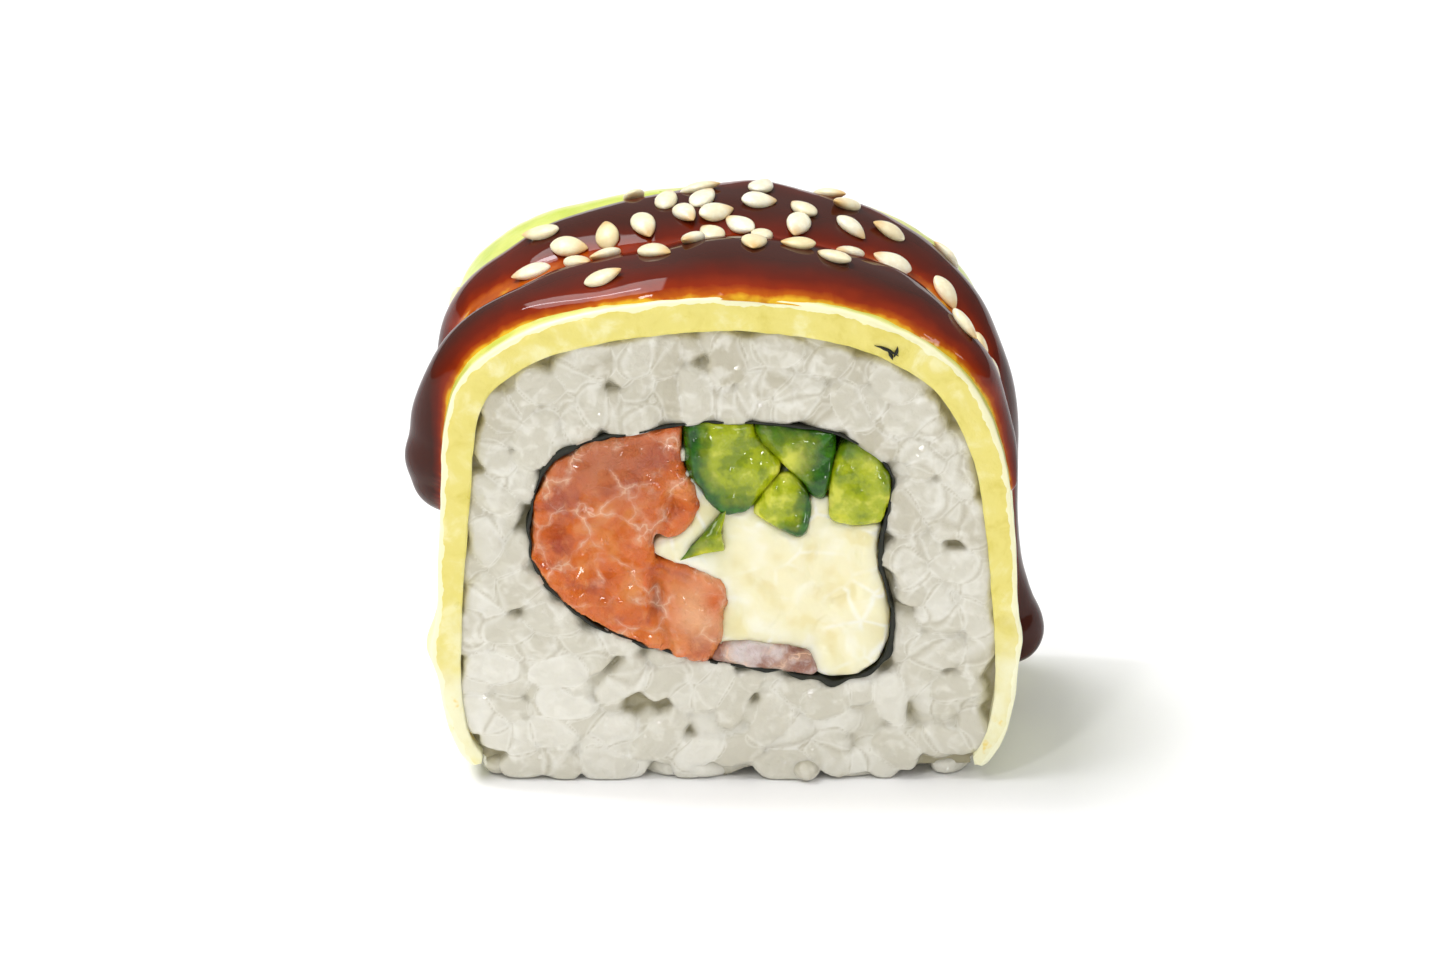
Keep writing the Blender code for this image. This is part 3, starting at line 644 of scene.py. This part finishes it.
def rice_face(name, side, draw, region, finish):
    """One cut face: grains pressed together, most of them sliced flat by the knife."""
    filling = smooth_loop(FILLING_OUTLINE, LOOP_SPACING)
    narrow = grown(filling, nori_width(filling, side))
    edges = np.vstack([region, narrow])
    low, high = region.min(axis=0) - 0.6, region.max(axis=0) + 0.6
    low[1] = 0.0
    xs = np.arange(low[0], high[0], FACE_CELL)
    zs = np.arange(low[1], high[1], FACE_CELL)
    x, z = np.meshgrid(xs, zs, indexing="ij")
    warp = stacked(x, side * 9.0, z)
    wx, wz = x + 0.22 * noise_at(warp, 1.9, 3.0), z + 0.22 * noise_at(warp, 1.9, 13.0)
    height = np.full(x.shape, NOTHING)
    second = np.full(x.shape, NOTHING)
    tone = np.zeros(x.shape)

    def allowed(spot):
        return inside(region, spot) and not inside(narrow, spot)

    for base_depth, apart, tries, margin in FACE_LAYERS:
        for gx, gz, angle, length in scattered(draw, allowed, (low, high), apart, tries, edges, margin):
            half_length, half_width = length / 2, GRAIN_SIZE[1] / 2 * draw.uniform(0.95, 1.2)
            thick = GRAIN_SIZE[2] / 2 * draw.uniform(0.9, 1.1)
            centre = base_depth + draw.uniform(-0.45, 0.35)
            bend, taper, slant = (draw.uniform(-most, most) for most in (0.10, 0.2, 0.12))
            shade = draw.random()
            window = np.ix_(abs(xs - gx) < half_length + 0.8, abs(zs - gz) < half_length + 0.8)
            dx, dz = wx[window] - gx, wz[window] - gz
            u = dx * math.cos(angle) + dz * math.sin(angle)
            v = -dx * math.sin(angle) + dz * math.cos(angle) + bend * (u * u - half_length)
            v = v / (1 + taper * u / half_length)
            far = abs(u / half_length)**2.5 + abs(v / half_width)**2.2
            top = np.where(far < 1, centre + slant * u + thick * np.maximum(1 - far, 0)**0.5, NOTHING)
            best = height[window]
            wins = top > best
            second[window] = np.where(wins, best, np.maximum(second[window], top))
            height[window] = np.where(wins, top, best)
            tone[window] = np.where(wins, shade, tone[window])

    knife = 0.16 * noise_at(warp, 8.0, 1.0) + 0.05 * noise_at(warp, 1.3, 5.0)
    covered = height > -4
    # crease is 1 where two grains meet at the same height; the rice material paints a highlight beside it
    # and shade in it.
    crease = np.clip(1 - (height - np.maximum(second, -2.5)) / 0.9, 0, 1)
    height = knife - KNIFE_SOFT * np.log1p(np.exp(np.minimum((knife - height) / KNIFE_SOFT, 40)))
    lip = knife - 0.05
    height = np.where(height < lip, lip - (lip - height) * 0.8, height)
    for _ in range(2):
        height = np.maximum(height, FACE_FLOOR)
        height = (4 * height + np.roll(height, 1, 0) + np.roll(height, -1, 0)
                  + np.roll(height, 1, 1) + np.roll(height, -1, 1)) / 8
    # depth is how far the rice lies below the cut; the material paints shade by it.
    depth = np.clip(-height / -FACE_FLOOR, 0, 1)
    # Painted shade: half of the tone is a gradient that makes the rice darker towards the top and lighter
    # towards the bottom, as the light falls; the other half is each grain's own random tone.
    tone = 0.5 * tone + 0.5 * np.clip(1 - z / 36, 0, 1)
    wide = grown(region, 0.45)
    keep_point = np.array([inside(wide, row) & ~inside(narrow, row) for row in np.stack([x, z], axis=-1)])
    keep_point &= (z > 0.9) | covered
    keep = keep_point[:-1, :-1] & keep_point[1:, :-1] & keep_point[:-1, 1:] & keep_point[1:, 1:]
    outline = np.vstack([resampled(narrow, 0.05), resampled(wide, 0.05)])
    x, z = snapped(x, z, keep_point, outline[outline[:, 1] >= 0])
    upper = stacked(x, side * (CUT_PLANE + height), z)
    lower = stacked(x, side * (CUT_PLANE - FACE_THICKNESS), z)
    if side > 0:
        upper, lower, keep = upper[::-1], lower[::-1], keep[::-1]
        tone, depth, crease = tone[::-1], depth[::-1], crease[::-1]
    points, faces, used = closed_sheet(upper, lower, keep)
    floats = {key: np.concatenate([values.ravel()] * 2)[used]
              for key, values in (("tone", tone), ("depth", depth), ("crease", crease))}
    finish_piece(mesh_object(name, points, faces, floats), finish, "rice")


def make_rice(wrap, finish):
    """Both cut faces, a layer of whole grains on the underside and a core."""
    spread = np.where(wrap.along < wrap.girth / 2, wrap.along, wrap.along - wrap.girth)
    wall = wrap.thickness(spread)
    under = (wrap.along > wrap.right_end + 0.8) & (wrap.along < wrap.girth + wrap.left_end - 0.8)
    outer = grown(wrap.loop, -np.where(under, 0.0, wall))
    outer[:, 1] = np.maximum(outer[:, 1], 0.0)
    outer = resampled(outer, 0.5)
    draw = random.Random(11)
    rice_face("rice_front", -1, draw, outer, finish)
    rice_face("rice_back", 1, draw, outer, finish)
    rice_under(draw, finish)

    shrunk = grown(outer, -0.4)
    shrunk[:, 1] = np.maximum(shrunk[:, 1], 0.5)
    hole = grown(smooth_loop(FILLING_OUTLINE, 0.5), NORI_THICKNESS)
    core = ring_tube("rice_core", resampled(shrunk, 0.8), resampled(grown(hole, 0.3), 0.8), CORE_HALF)
    # The core gets a large depth so that it is painted in shade where it shows between grains.
    values = (("tone", 0.3), ("depth", 0.75), ("crease", 0.5))
    set_floats(core.data, {key: np.full(len(core.data.vertices), value) for key, value in values})
    finish_piece(core, finish, "rice")


def ring_tube(name, outer, inner, half):
    """A closed tube between two loops with different numbers of points, and flat ends."""
    curve = bpy.data.curves.new(name, "CURVE")
    curve.dimensions = "2D"
    curve.fill_mode = "BOTH"
    curve.extrude = half * MM
    for loop in (outer, inner):
        spline = curve.splines.new("POLY")
        spline.points.add(len(loop) - 1)
        spline.use_cyclic_u = True
        for point, (x, z) in zip(spline.points, loop):
            point.co = (x * MM, z * MM, 0, 1)
    outline = placed(name + "_outline", curve)
    mesh = evaluated(outline)
    mesh.transform(Matrix.Rotation(math.pi / 2, 4, "X"))
    bpy.data.objects.remove(outline)
    work = bmesh.new()
    work.from_mesh(mesh)
    bmesh.ops.remove_doubles(work, verts=work.verts, dist=0.002 * MM)
    bmesh.ops.recalc_face_normals(work, faces=work.faces)
    work.to_mesh(mesh)
    work.free()
    return placed(name, mesh)


# Nori and fillings

def swept_wall(name, sections, closed=False, floats=None):
    """A closed wall: sections is an array [station round the wall, point along it, xyz]."""
    count, along = sections.shape[:2]
    faces = []
    for i in range(count):
        k = (i + 1) % count
        for j in range(along):
            m = (j + 1) % along if closed else j + 1
            if m < along:
                faces.append((i * along + j, i * along + m, k * along + m, k * along + j))
    if not closed:
        faces.append(tuple(i * along for i in range(count)))
        faces.append(tuple(i * along + along - 1 for i in reversed(range(count))))
    return mesh_object(name, sections.reshape(-1, 3), faces, floats)


def make_nori(finish):
    """A thin crumpled tube whose wall and cut edges are uneven."""
    inner = smooth_loop(FILLING_OUTLINE, 0.28)
    out = normals(inner)
    near_cut = np.linspace(10.2, 11.75, 8)
    stations = np.concatenate([-near_cut[::-1], np.linspace(-8.5, 8.5, 9), near_cut])
    grid = lengthways(inner[None], stations[:, None])
    crumple = (0.20 * noise_at(grid, 1.6) + 0.12 * noise_at(grid, 0.7, 9.0)) * (out[:, 1] < 0.4)
    thick = 0.10 + np.stack([np.maximum(nori_width(inner, np.sign(s)), 0.0) for s in stations])
    ragged = 0.30 * noise_at(grid, 1.3, 2.0) * (abs(stations)[:, None] / 12)**6
    grid[..., 1] += ragged * np.sign(stations)[:, None]
    inner_wall = grid + lengthways(out) * (crumple - 0.05)[..., None]
    outer_wall = grid + lengthways(out) * (crumple + thick)[..., None]
    piece = swept_wall("nori_sheet_wall", np.concatenate([outer_wall, inner_wall[::-1]]), closed=True)
    finish_piece(piece, finish, "nori")


# Shreds of nori on the avocado's cut edge: middle in X and Z, length, turn and bend
CRUMB = ((12.3, 37.3, 2.1, -0.45, 0.10), (13.0, 37.2, 1.0, 1.25, -0.08), (12.6, 36.9, 0.9, -1.1, 0.05))
CRUMB_WIDTH = 0.28


def make_crumb(finish):
    """Thin shreds of nori stuck to the avocado's cut edge, each a bent strip with tapering ends."""
    points, faces = [], []
    for x, z, length, angle, bend in CRUMB:
        start = len(points)
        share = np.linspace(-0.5, 0.5, 9)
        for i, s in enumerate(share):
            thick = CRUMB_WIDTH * (1.05 - abs(2 * s)**1.5) / 2
            along = Vector((math.cos(angle), math.sin(angle)))
            side = Vector((-along.y, along.x))
            spot = Vector((x, z)) + along * s * length + side * bend * (1 - 4 * s * s)
            for u, lift in ((-1, 0.0), (0, 0.6), (1, 0.0), (0, -0.6)):
                place = spot + side * u * thick
                points.append((place.x, -(12.07 + 0.12 * lift + 0.05 * math.sin(i * 2.3)), place.y))
            if i:
                for k in range(4):
                    a, b = start + 4 * (i - 1) + k, start + 4 * (i - 1) + (k + 1) % 4
                    faces.append((a, b, b + 4, a + 4))
        faces.append(tuple(start + k for k in (3, 2, 1, 0)))
        faces.append(tuple(len(points) - 4 + k for k in range(4)))
    finish_piece(mesh_object("nori_crumb", points, faces), finish, "nori")


def dense_copy(frame, node, voxel=VOXEL, rounds=4):
    """A node's solid as an even fine mesh with softened edges, with its points and normals."""
    made = placed(node + "_food", frame["nodes"][node].data.copy())
    remesh = made.modifiers.new("fine", "REMESH")
    remesh.mode = "VOXEL"
    remesh.voxel_size = voxel * MM
    relax = made.modifiers.new("soft", "SMOOTH")
    relax.factor = 0.5
    relax.iterations = rounds
    mesh = evaluated(made)
    made.modifiers.clear()
    made.data = mesh
    mesh.shade_smooth()
    points, out = (np.empty(len(mesh.vertices) * 3, np.float32) for _ in range(2))
    mesh.vertices.foreach_get("co", points)
    mesh.vertices.foreach_get("normal", out)
    return made, points.reshape(-1, 3).astype(float) / MM, out.reshape(-1, 3).astype(float)


def set_points(piece, points):
    piece.data.vertices.foreach_set("co", (points * MM).astype(np.float32).ravel())
    piece.data.update()


def on_faces(points):
    """1 on the cut faces and 0 well inside the roll."""
    return np.clip((abs(points[:, 1]) - 9.5) / 2.0, 0, 1)


# Where a fold runs across the salmon's cut face
SALMON_GROOVE = ((-4.4, 24.5), (-5.6, 21.5), (-5.2, 18.5), (-5.8, 15.5), (-4.6, 12.2))
# Patches on it: name, strength, middle and reach in X and Z
SALMON_PATCHES = (
    ("fold", 1.0, (-2.4, 15.0), (2.2, 2.8)), ("brown", 0.8, (-9.5, 28.0), (5.5, 4.0)),
    ("spot", 0.9, (-1.0, 16.0), (0.9, 1.1)),
)


def make_salmon(frame, finish, flake_finish):
    piece, points, out = dense_copy(frame, "salmon")
    face = on_faces(points)
    lobes = 0.55 * noise_at(points * [1, 0.4, 1], 5.0, 3.0) + 0.32 * noise_at(points, 1.9, 1.0)
    flakes = 0.34 * abs(noise_at(points * [1, 0.3, 1], 1.5, 6.0))
    places = points[:, [0, 2]]
    groove = np.exp(-(distance_to_line(places, SALMON_GROOVE) / 0.55)**2)
    floats = {key: most * np.exp(-(((places - middle) / reach)**2).sum(axis=1))
              for key, most, middle, reach in SALMON_PATCHES}
    relief = lobes - flakes - 0.7 * groove + 0.4 * floats["fold"]
    set_points(piece, points + out * (0.30 + face * relief)[:, None])
    set_floats(piece.data, floats)
    finish_piece(piece, finish, "salmon")
    piece, points, out = dense_copy(frame, "salmon_flake", 0.22)
    bumps = 0.22 * noise_at(points * [1, 0.5, 1], 1.6, 2.0)
    set_points(piece, points + out * (0.25 + on_faces(points) * bumps)[:, None])
    finish_piece(piece, flake_finish, "salmon_flake")


# Where each cucumber stick has its skin, as a line along that side of its cross-section
CUCUMBER_SKINS = {
    "cucumber_left": ((-3.0, 30.5), (-3.0, 27.0), (-1.9, 25.0), (-0.3, 23.3), (1.4, 23.4)),
    "cucumber_top": ((1.8, 32.0), (8.4, 31.0), (8.2, 28.0), (7.5, 24.4), (6.8, 24.7)),
    "cucumber_middle": ((6.4, 24.6), (6.2, 22.5), (5.9, 21.3), (4.6, 21.8)),
    "cucumber_right": ((8.0, 29.5), (10.5, 30.2), (13.4, 28.2), (13.4, 26.5)),
}
SKIN_REACH = {"cucumber_top": 3.6, "cucumber_left": 2.1, "cucumber_right": 2.2}
SHAVING = ((-0.1, 23.9), (-0.5, 21.7), (-0.2, 20.2), (-1.9, 19.95), (-3.9, 19.3), (-1.95, 21.6))


def distance_to_line(points, line):
    """The distance of each (x, z) point from a polyline."""
    best = np.full(len(points), np.inf)
    knots = np.array(line, float)
    for a, b in zip(knots[:-1], knots[1:]):
        along = b - a
        t = np.clip(((points - a) @ along) / (along @ along), 0, 1)
        best = np.minimum(best, np.linalg.norm(points - a - t[:, None] * along, axis=1))
    return best


def make_cucumber(frame, finish):
    for number, (node, skin) in enumerate(CUCUMBER_SKINS.items()):
        piece, points, out = dense_copy(frame, node, 0.22, 3)
        face = on_faces(points)
        relief = 0.18 * noise_at(points * [1, 0.4, 1], 2.4, number * 3.0) + 0.05 * noise_at(points, 0.8)
        moved = points + out * (0.24 + face * relief)[:, None]
        moved[:, 1] -= 0.17 * math.sin(number * 2.1) * face * np.sign(points[:, 1])
        set_points(piece, moved)
        far = distance_to_line(points[:, [0, 2]], skin)
        set_floats(piece.data, {"skin": np.clip(1 - far / SKIN_REACH.get(node, 1.5), 0, 1)})
        finish_piece(piece, finish, node)
    outline = resampled(np.array(SHAVING), 0.12)
    stations = np.linspace(-SHAVING_HALF, SHAVING_HALF, 49)
    wall = lengthways(outline[:, None], stations[None])
    shrink = 1 - 0.06 * (abs(stations) > 12)
    middle = np.array([-1.4, 0, 20.9])
    wall = middle + (wall - middle) * stacked(shrink, 1.0, shrink)[None]
    wall[..., 0] += 0.10 * noise_at(wall, 1.5)
    far = distance_to_line(wall.reshape(-1, 3)[:, [0, 2]], SHAVING[4:] + SHAVING[:1])
    floats = {"skin": 0.7 * np.clip(1 - far / 0.5, 0, 1)}
    piece = swept_wall("cucumber_shaving_food", wall, floats=floats)
    finish_piece(piece, finish, "cucumber_shaving")


def make_cream(frame, finish):
    piece, points, out = dense_copy(frame, "cream_cheese")
    face = on_faces(points)
    lumps = 0.55 * noise_at(points * [1, 0.5, 1], 4.2, 8.0) + 0.10 * noise_at(points, 1.4, 2.0)
    cracks = 0.22 * np.clip(1 - abs(noise_at(points * [1, 0.3, 1], 3.4, 5.0)) * 8, 0, 1)
    moved = points + out * 0.2
    moved[:, 1] += out[:, 1] * face * (lumps - cracks - 0.1)
    set_points(piece, moved)
    finish_piece(piece, finish, "cream_cheese")


# Avocado, sauce and seeds

AVOCADO_ROUND = 0.3  # radius of the avocado's cut corners
LUMPS = ((-46.0, -10.2, 2.4, 1.0), (-48.6, -8.5, 1.6, 0.5), (44.0, -11.0, 1.8, 0.3))


def avocado_section():
    """(share of the depth, y) round the avocado's cross-wise profile: a rectangle with round corners."""
    half = LENGTH / 2
    flat = half - AVOCADO_ROUND
    top = [(0.0, y) for y in np.linspace(-flat, flat, 60)]
    side = [(AVOCADO_ROUND * (1 - math.cos(turn)), half - AVOCADO_ROUND * (1 - math.sin(turn)))
            for turn in np.linspace(0, math.pi / 2, 5)[1:-1]]
    side += [(depth, half) for depth in np.linspace(AVOCADO_ROUND, 1.0, 7)]
    bottom = [(1.0, y) for y in np.linspace(flat, -flat, 14)]
    return np.array(top + side + bottom + [(depth, -y) for depth, y in reversed(side)])


def make_avocado(wrap, finish):
    section = avocado_section()
    distances = np.linspace(wrap.left_end, wrap.right_end, 300)
    point, out = wrap.at(distances)
    wall = wrap.thickness(distances)
    depth = section[:, None, 0] * wall[None]
    near_end = np.minimum(distances - wrap.left_end, wrap.right_end - distances)
    depth = depth + (0.5 - section[:, None, 0]) * wall[None] * np.clip(1 - near_end / 0.6, 0, 1)[None]**2
    outward = lengthways(out)[None]
    place = lengthways(point[None], section[:, None, 1]) - outward * depth[..., None]
    uneven = 0.10 * noise_at(place * [1, 0.5, 1], 3.5, 7.0) + 0.05 * noise_at(place, 1.1, 3.0)
    for spot, y, radius, height in LUMPS:
        far = ((distances[None] - spot)**2 + (section[:, None, 1] - y)**2) / radius**2
        uneven = uneven + height * np.exp(-far * 1.4) * (section[:, None, 0] < 0.5)
    at_cut = np.clip((abs(section[:, 1]) - 11.4) / 0.5, 0, 1)[:, None]
    cut_wave = 0.10 * noise_at(place * [1, 0, 1], 2.2, 1.0) * at_cut
    place = place + outward * uneven[..., None]
    place[..., 1] += np.sign(section[:, None, 1]) * cut_wave
    behind = np.clip((11.75 - abs(section[:, 1])) / 0.7, 0, 1)[:, None]
    skin = np.exp(-np.maximum(depth - 0.25, 0) / 0.8) * behind
    foot = np.repeat(np.clip((abs(distances) - 36) / 16, 0, 1)[None], len(section), 0)
    # rim is 1 at the outer surface and fades inward; the material paints a highlight along the cut face's
    # outer edge by it.
    floats = {"skin": skin, "foot": foot, "rim": np.exp(-depth / 0.5)}
    finish_piece(swept_wall("avocado_wrap", place, floats=floats), finish, "avocado")


def sauce_surface(wrap, distance, y):
    """(points on the avocado, outward directions, height of the sauce above them)."""
    point, out = wrap.at(distance)
    flat = lengthways(point, y)
    warp = 1.1 * noise_at(flat, 9.0, 2.0) + 0.35 * noise_at(flat, 3.5, 6.0)
    drift = 0.5 * noise_at(flat, 3.8, 12.0)
    height = sauce_height(distance + drift, y + warp)
    height = height + 0.35 * noise_at(flat, 5.5, 21.0) * np.clip(height, 0, 1)
    return flat, lengthways(out), height


def make_sauce(wrap, finish):
    """The streams as one closed sheet: its top follows the height, its underside stays in the avocado."""
    half = LENGTH / 2 - 0.12
    distances = np.arange(SAUCE_SPAN[0], SAUCE_SPAN[1], SAUCE_CELL)
    across = np.linspace(-half, half, int(2 * half / SAUCE_CELL))
    d, y = np.meshgrid(distances, across, indexing="ij")
    flat, outward, height = sauce_surface(wrap, d, y)
    top = np.maximum(height, SAUCE_EDGE - 0.12)
    upper = flat + outward * top[..., None]
    lower = flat + outward * SAUCE_FLOOR
    wet = height > SAUCE_EDGE
    keep = wet[:-1, :-1] | wet[1:, :-1] | wet[:-1, 1:] | wet[1:, 1:]
    points, faces, used = closed_sheet(upper, lower, keep)
    depth = height / 1.9 * (0.35 + 0.65 * np.clip((12.2 - abs(y)) / 6.0, 0, 1)**0.8)
    depth *= 1 + 2 * np.clip((abs(d) - 24) / 8, 0, 1)
    depth = np.clip(np.concatenate([depth.ravel()] * 2), 0, 1)[used]
    finish_piece(mesh_object("dark_sauce", points, faces, {"depth": depth}), finish,
                 "avocado")


def seed_places():
    """(distance, y, turn) of the sesame seeds: thick along the crown, thinner down the shoulders."""
    draw = random.Random(SEED_SEED)
    places = []
    while len(places) < SEED_COUNT:
        spread_along, spread_across = SLOPE_SPREAD if len(places) % 5 == 4 else CROWN_SPREAD
        distance = draw.gauss(SEED_MIDDLE[0], spread_along)
        y = draw.gauss(SEED_MIDDLE[1], spread_across)
        turn = draw.uniform(0, 2 * math.pi)
        held = abs(distance) <= SEED_REACH and abs(y) <= LENGTH / 2 - SEED_SIZE[1]
        if held and all(math.hypot(distance - d, y - v) >= SEED_APART for d, v, _ in places):
            places.append((distance, y, turn))
    return places


def surface_frame(wrap, distance, y):
    """(point, along, across, out) on the sauce or the avocado."""
    d = distance + np.array([0, 0.6, -0.6, 0, 0])
    v = y + np.array([0, 0, 0, 0.6, -0.6])
    flat, outward, height = sauce_surface(wrap, d, v)
    spots = [Vector(spot) for spot in flat + outward * np.maximum(height, 0)[:, None]]
    along = (spots[1] - spots[2]).normalized()
    out = (spots[3] - spots[4]).cross(along).normalized()
    if out.dot(Vector(outward[0])) < 0:
        out = -out
    return spots[0], along, out.cross(along).normalized(), out


def make_seeds(wrap, finish):
    """Teardrop sesame seeds with a pointed tip and a low ridge, each a little different."""
    plain, faces = bead(*SEED_MESH, lambda share: np.sin(math.pi * share**0.82)**0.70, 0.85)
    draw = random.Random(5)
    seeds, tones = [], []
    for distance, y, turn in seed_places():
        here, along, across, out = surface_frame(wrap, distance, y)
        size = [s * draw.uniform(0.9, 1.08) for s in SEED_SIZE]
        points = plain * size
        points[:, 2] += draw.uniform(-0.12, 0.12) * plain[:, 0]**2 * 4
        points[:, 1] += draw.uniform(-0.10, 0.10) * plain[:, 0]**2 * 4
        axes = Matrix((along, across, out)).transposed()
        tilt = Matrix.Rotation(draw.uniform(-0.14, 0.14), 3, "X")
        lean = Matrix.Rotation(draw.uniform(-0.16, 0.16), 3, "Y")
        spin = np.array(axes @ Matrix.Rotation(turn, 3, "Z") @ (tilt @ lean))
        seeds.append(points @ spin.T + np.array(here + out * size[2] * SEED_LIFT))
        tones.append(np.full(len(points), draw.random()))
    floats = {"tone": np.concatenate(tones), "along": np.tile(plain[:, 0] + 0.5, len(seeds))}
    finish_piece(mesh_object("sesame_seeds", *joined(seeds, faces), floats), finish,
                 "avocado")


# Light, floor and camera

WINDOW_WAY = (-0.40, 0.10, 0.91)  # direction of the soft window
WINDOW_HALF = (0.22, 0.36)  # half its size, as tangents
WINDOW_GLOW = 6.8
SKY_LOW = 0.25
SKY_HIGH = 0.62
CAMERA_TARGET = (0, 0, 0.0210)
CAMERA_RISE = math.radians(24)
CAMERA_FAR = 0.614


def aim(thing, target):
    thing.rotation_euler = (Vector(target) - thing.location).to_track_quat("-Z", "Y").to_euler()


def add_light(name, place, target, size, power, colour=(1, 1, 1)):
    data = bpy.data.lights.new(name, "AREA")
    data.shape = "RECTANGLE"
    data.size, data.size_y = size
    data.energy = power
    data.color = colour
    light = placed(name, data)
    light.location = place
    aim(light, target)


def make_world():
    """White light from all round, brighter overhead, with a soft window above and to the left."""
    world = bpy.data.worlds.new("studio")
    world.use_nodes = True
    nodes = Nodes(world.node_tree)
    place = nodes.add("ShaderNodeTexCoord").outputs["Generated"]
    centre = Vector(WINDOW_WAY).normalized()
    right = centre.cross(Vector((0, 1, 0))).normalized()

    def along(axis):
        made = nodes.add("ShaderNodeVectorMath", operation="DOT_PRODUCT")
        return nodes.feed(made, {0: place, 1: axis}).outputs["Value"]

    def fade(factor, first, last, low, high):
        made = nodes.add("ShaderNodeMapRange", interpolation_type="SMOOTHSTEP")
        values = {"Value": factor, "From Min": first, "From Max": last, "To Min": low, "To Max": high}
        return nodes.feed(made, values).outputs["Result"]

    ahead = nodes.math("MAXIMUM", along(centre), 0.05)
    light = fade(along(centre), 0.3, 0.5, 0.0, 1.0)
    for axis, half in ((right, WINDOW_HALF[0]), (right.cross(centre), WINDOW_HALF[1])):
        off = nodes.math("ABSOLUTE", nodes.math("DIVIDE", along(axis), ahead))
        light = nodes.math("MULTIPLY", light, fade(off, half, half * 1.15, 1.0, 0.0))
    sky = fade(along((0, 0, 1)), 0.0, 1.0, SKY_LOW, SKY_HIGH)
    strength = nodes.math("ADD", sky, nodes.math("MULTIPLY", light, WINDOW_GLOW))
    nodes.feed(nodes.tree.nodes["Background"], {"Color": (1, 1, 1), "Strength": strength})
    bpy.context.scene.world = world


def make_stage():
    mesh = bpy.data.meshes.new("floor")
    work = bmesh.new()
    bmesh.ops.create_grid(work, x_segments=4, y_segments=4, size=1.5)
    work.to_mesh(mesh)
    work.free()
    floor = placed("floor", mesh)
    shader = Shader("pale_floor", Roughness=0.6, Specular_IOR_Level=0.2)
    shader.base(shader.noise(60.0, 2.0), (0.3, 0.93), (0.7, 0.96))
    mesh.materials.append(shader.material)

    make_world()
    middle = (0, 0, 0.02)
    add_light("front_window", (-0.18, -0.34, 0.46), middle, (0.05, 0.08), 0.40)
    add_light("low_window", (-0.15, -0.55, 0.040), (0, 0, 0.005), (0.07, 0.05), 0.30)
    add_light("glint", (0.16, -0.52, 0.030), middle, (0.03, 0.02), 0.08)
    add_light("side_window", (0.34, -0.16, 0.26), middle, (0.04, 0.16), 0.20, (0.95, 0.93, 1.0))
    add_light("strip", (-0.22, 0.04, 0.40), middle, (0.03, 0.16), 0.34, (0.95, 0.93, 1.0))
    bpy.context.scene.view_settings.view_transform = "Standard"


def make_camera():
    data = bpy.data.cameras.new("camera")
    data.lens = 190
    data.sensor_width = 36
    data.clip_start = 0.01
    camera = placed("camera", data)
    back = Vector((0, -math.cos(CAMERA_RISE), math.sin(CAMERA_RISE)))
    camera.location = Vector(CAMERA_TARGET) + back * CAMERA_FAR
    aim(camera, CAMERA_TARGET)
    bpy.context.scene.camera = camera


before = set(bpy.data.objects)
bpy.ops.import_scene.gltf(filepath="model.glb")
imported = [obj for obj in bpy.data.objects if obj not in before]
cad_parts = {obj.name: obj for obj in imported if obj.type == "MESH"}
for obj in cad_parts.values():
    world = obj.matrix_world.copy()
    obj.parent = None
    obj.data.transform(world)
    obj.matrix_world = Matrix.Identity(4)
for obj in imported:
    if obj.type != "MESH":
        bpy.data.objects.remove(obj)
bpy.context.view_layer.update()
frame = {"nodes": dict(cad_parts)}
make_camera()
make_stage()
roll_wrap = Wrap()
make_rice(roll_wrap, rice_material())
nori_finish = nori_material()
make_nori(nori_finish)
make_crumb(nori_finish)
make_salmon(frame,
            salmon_material("salmon", (0.64, 0.125, 0.006), (0.40, 0.050, 0.005), (0.74, 0.25, 0.06)),
            salmon_material("salmon_grey", (0.34, 0.16, 0.11), (0.22, 0.08, 0.05), (0.74, 0.66, 0.64)))
make_cucumber(frame, cucumber_material())
make_cream(frame, cream_material())
make_avocado(roll_wrap, avocado_material())
make_sauce(roll_wrap, sauce_material())
make_seeds(roll_wrap, seed_material())
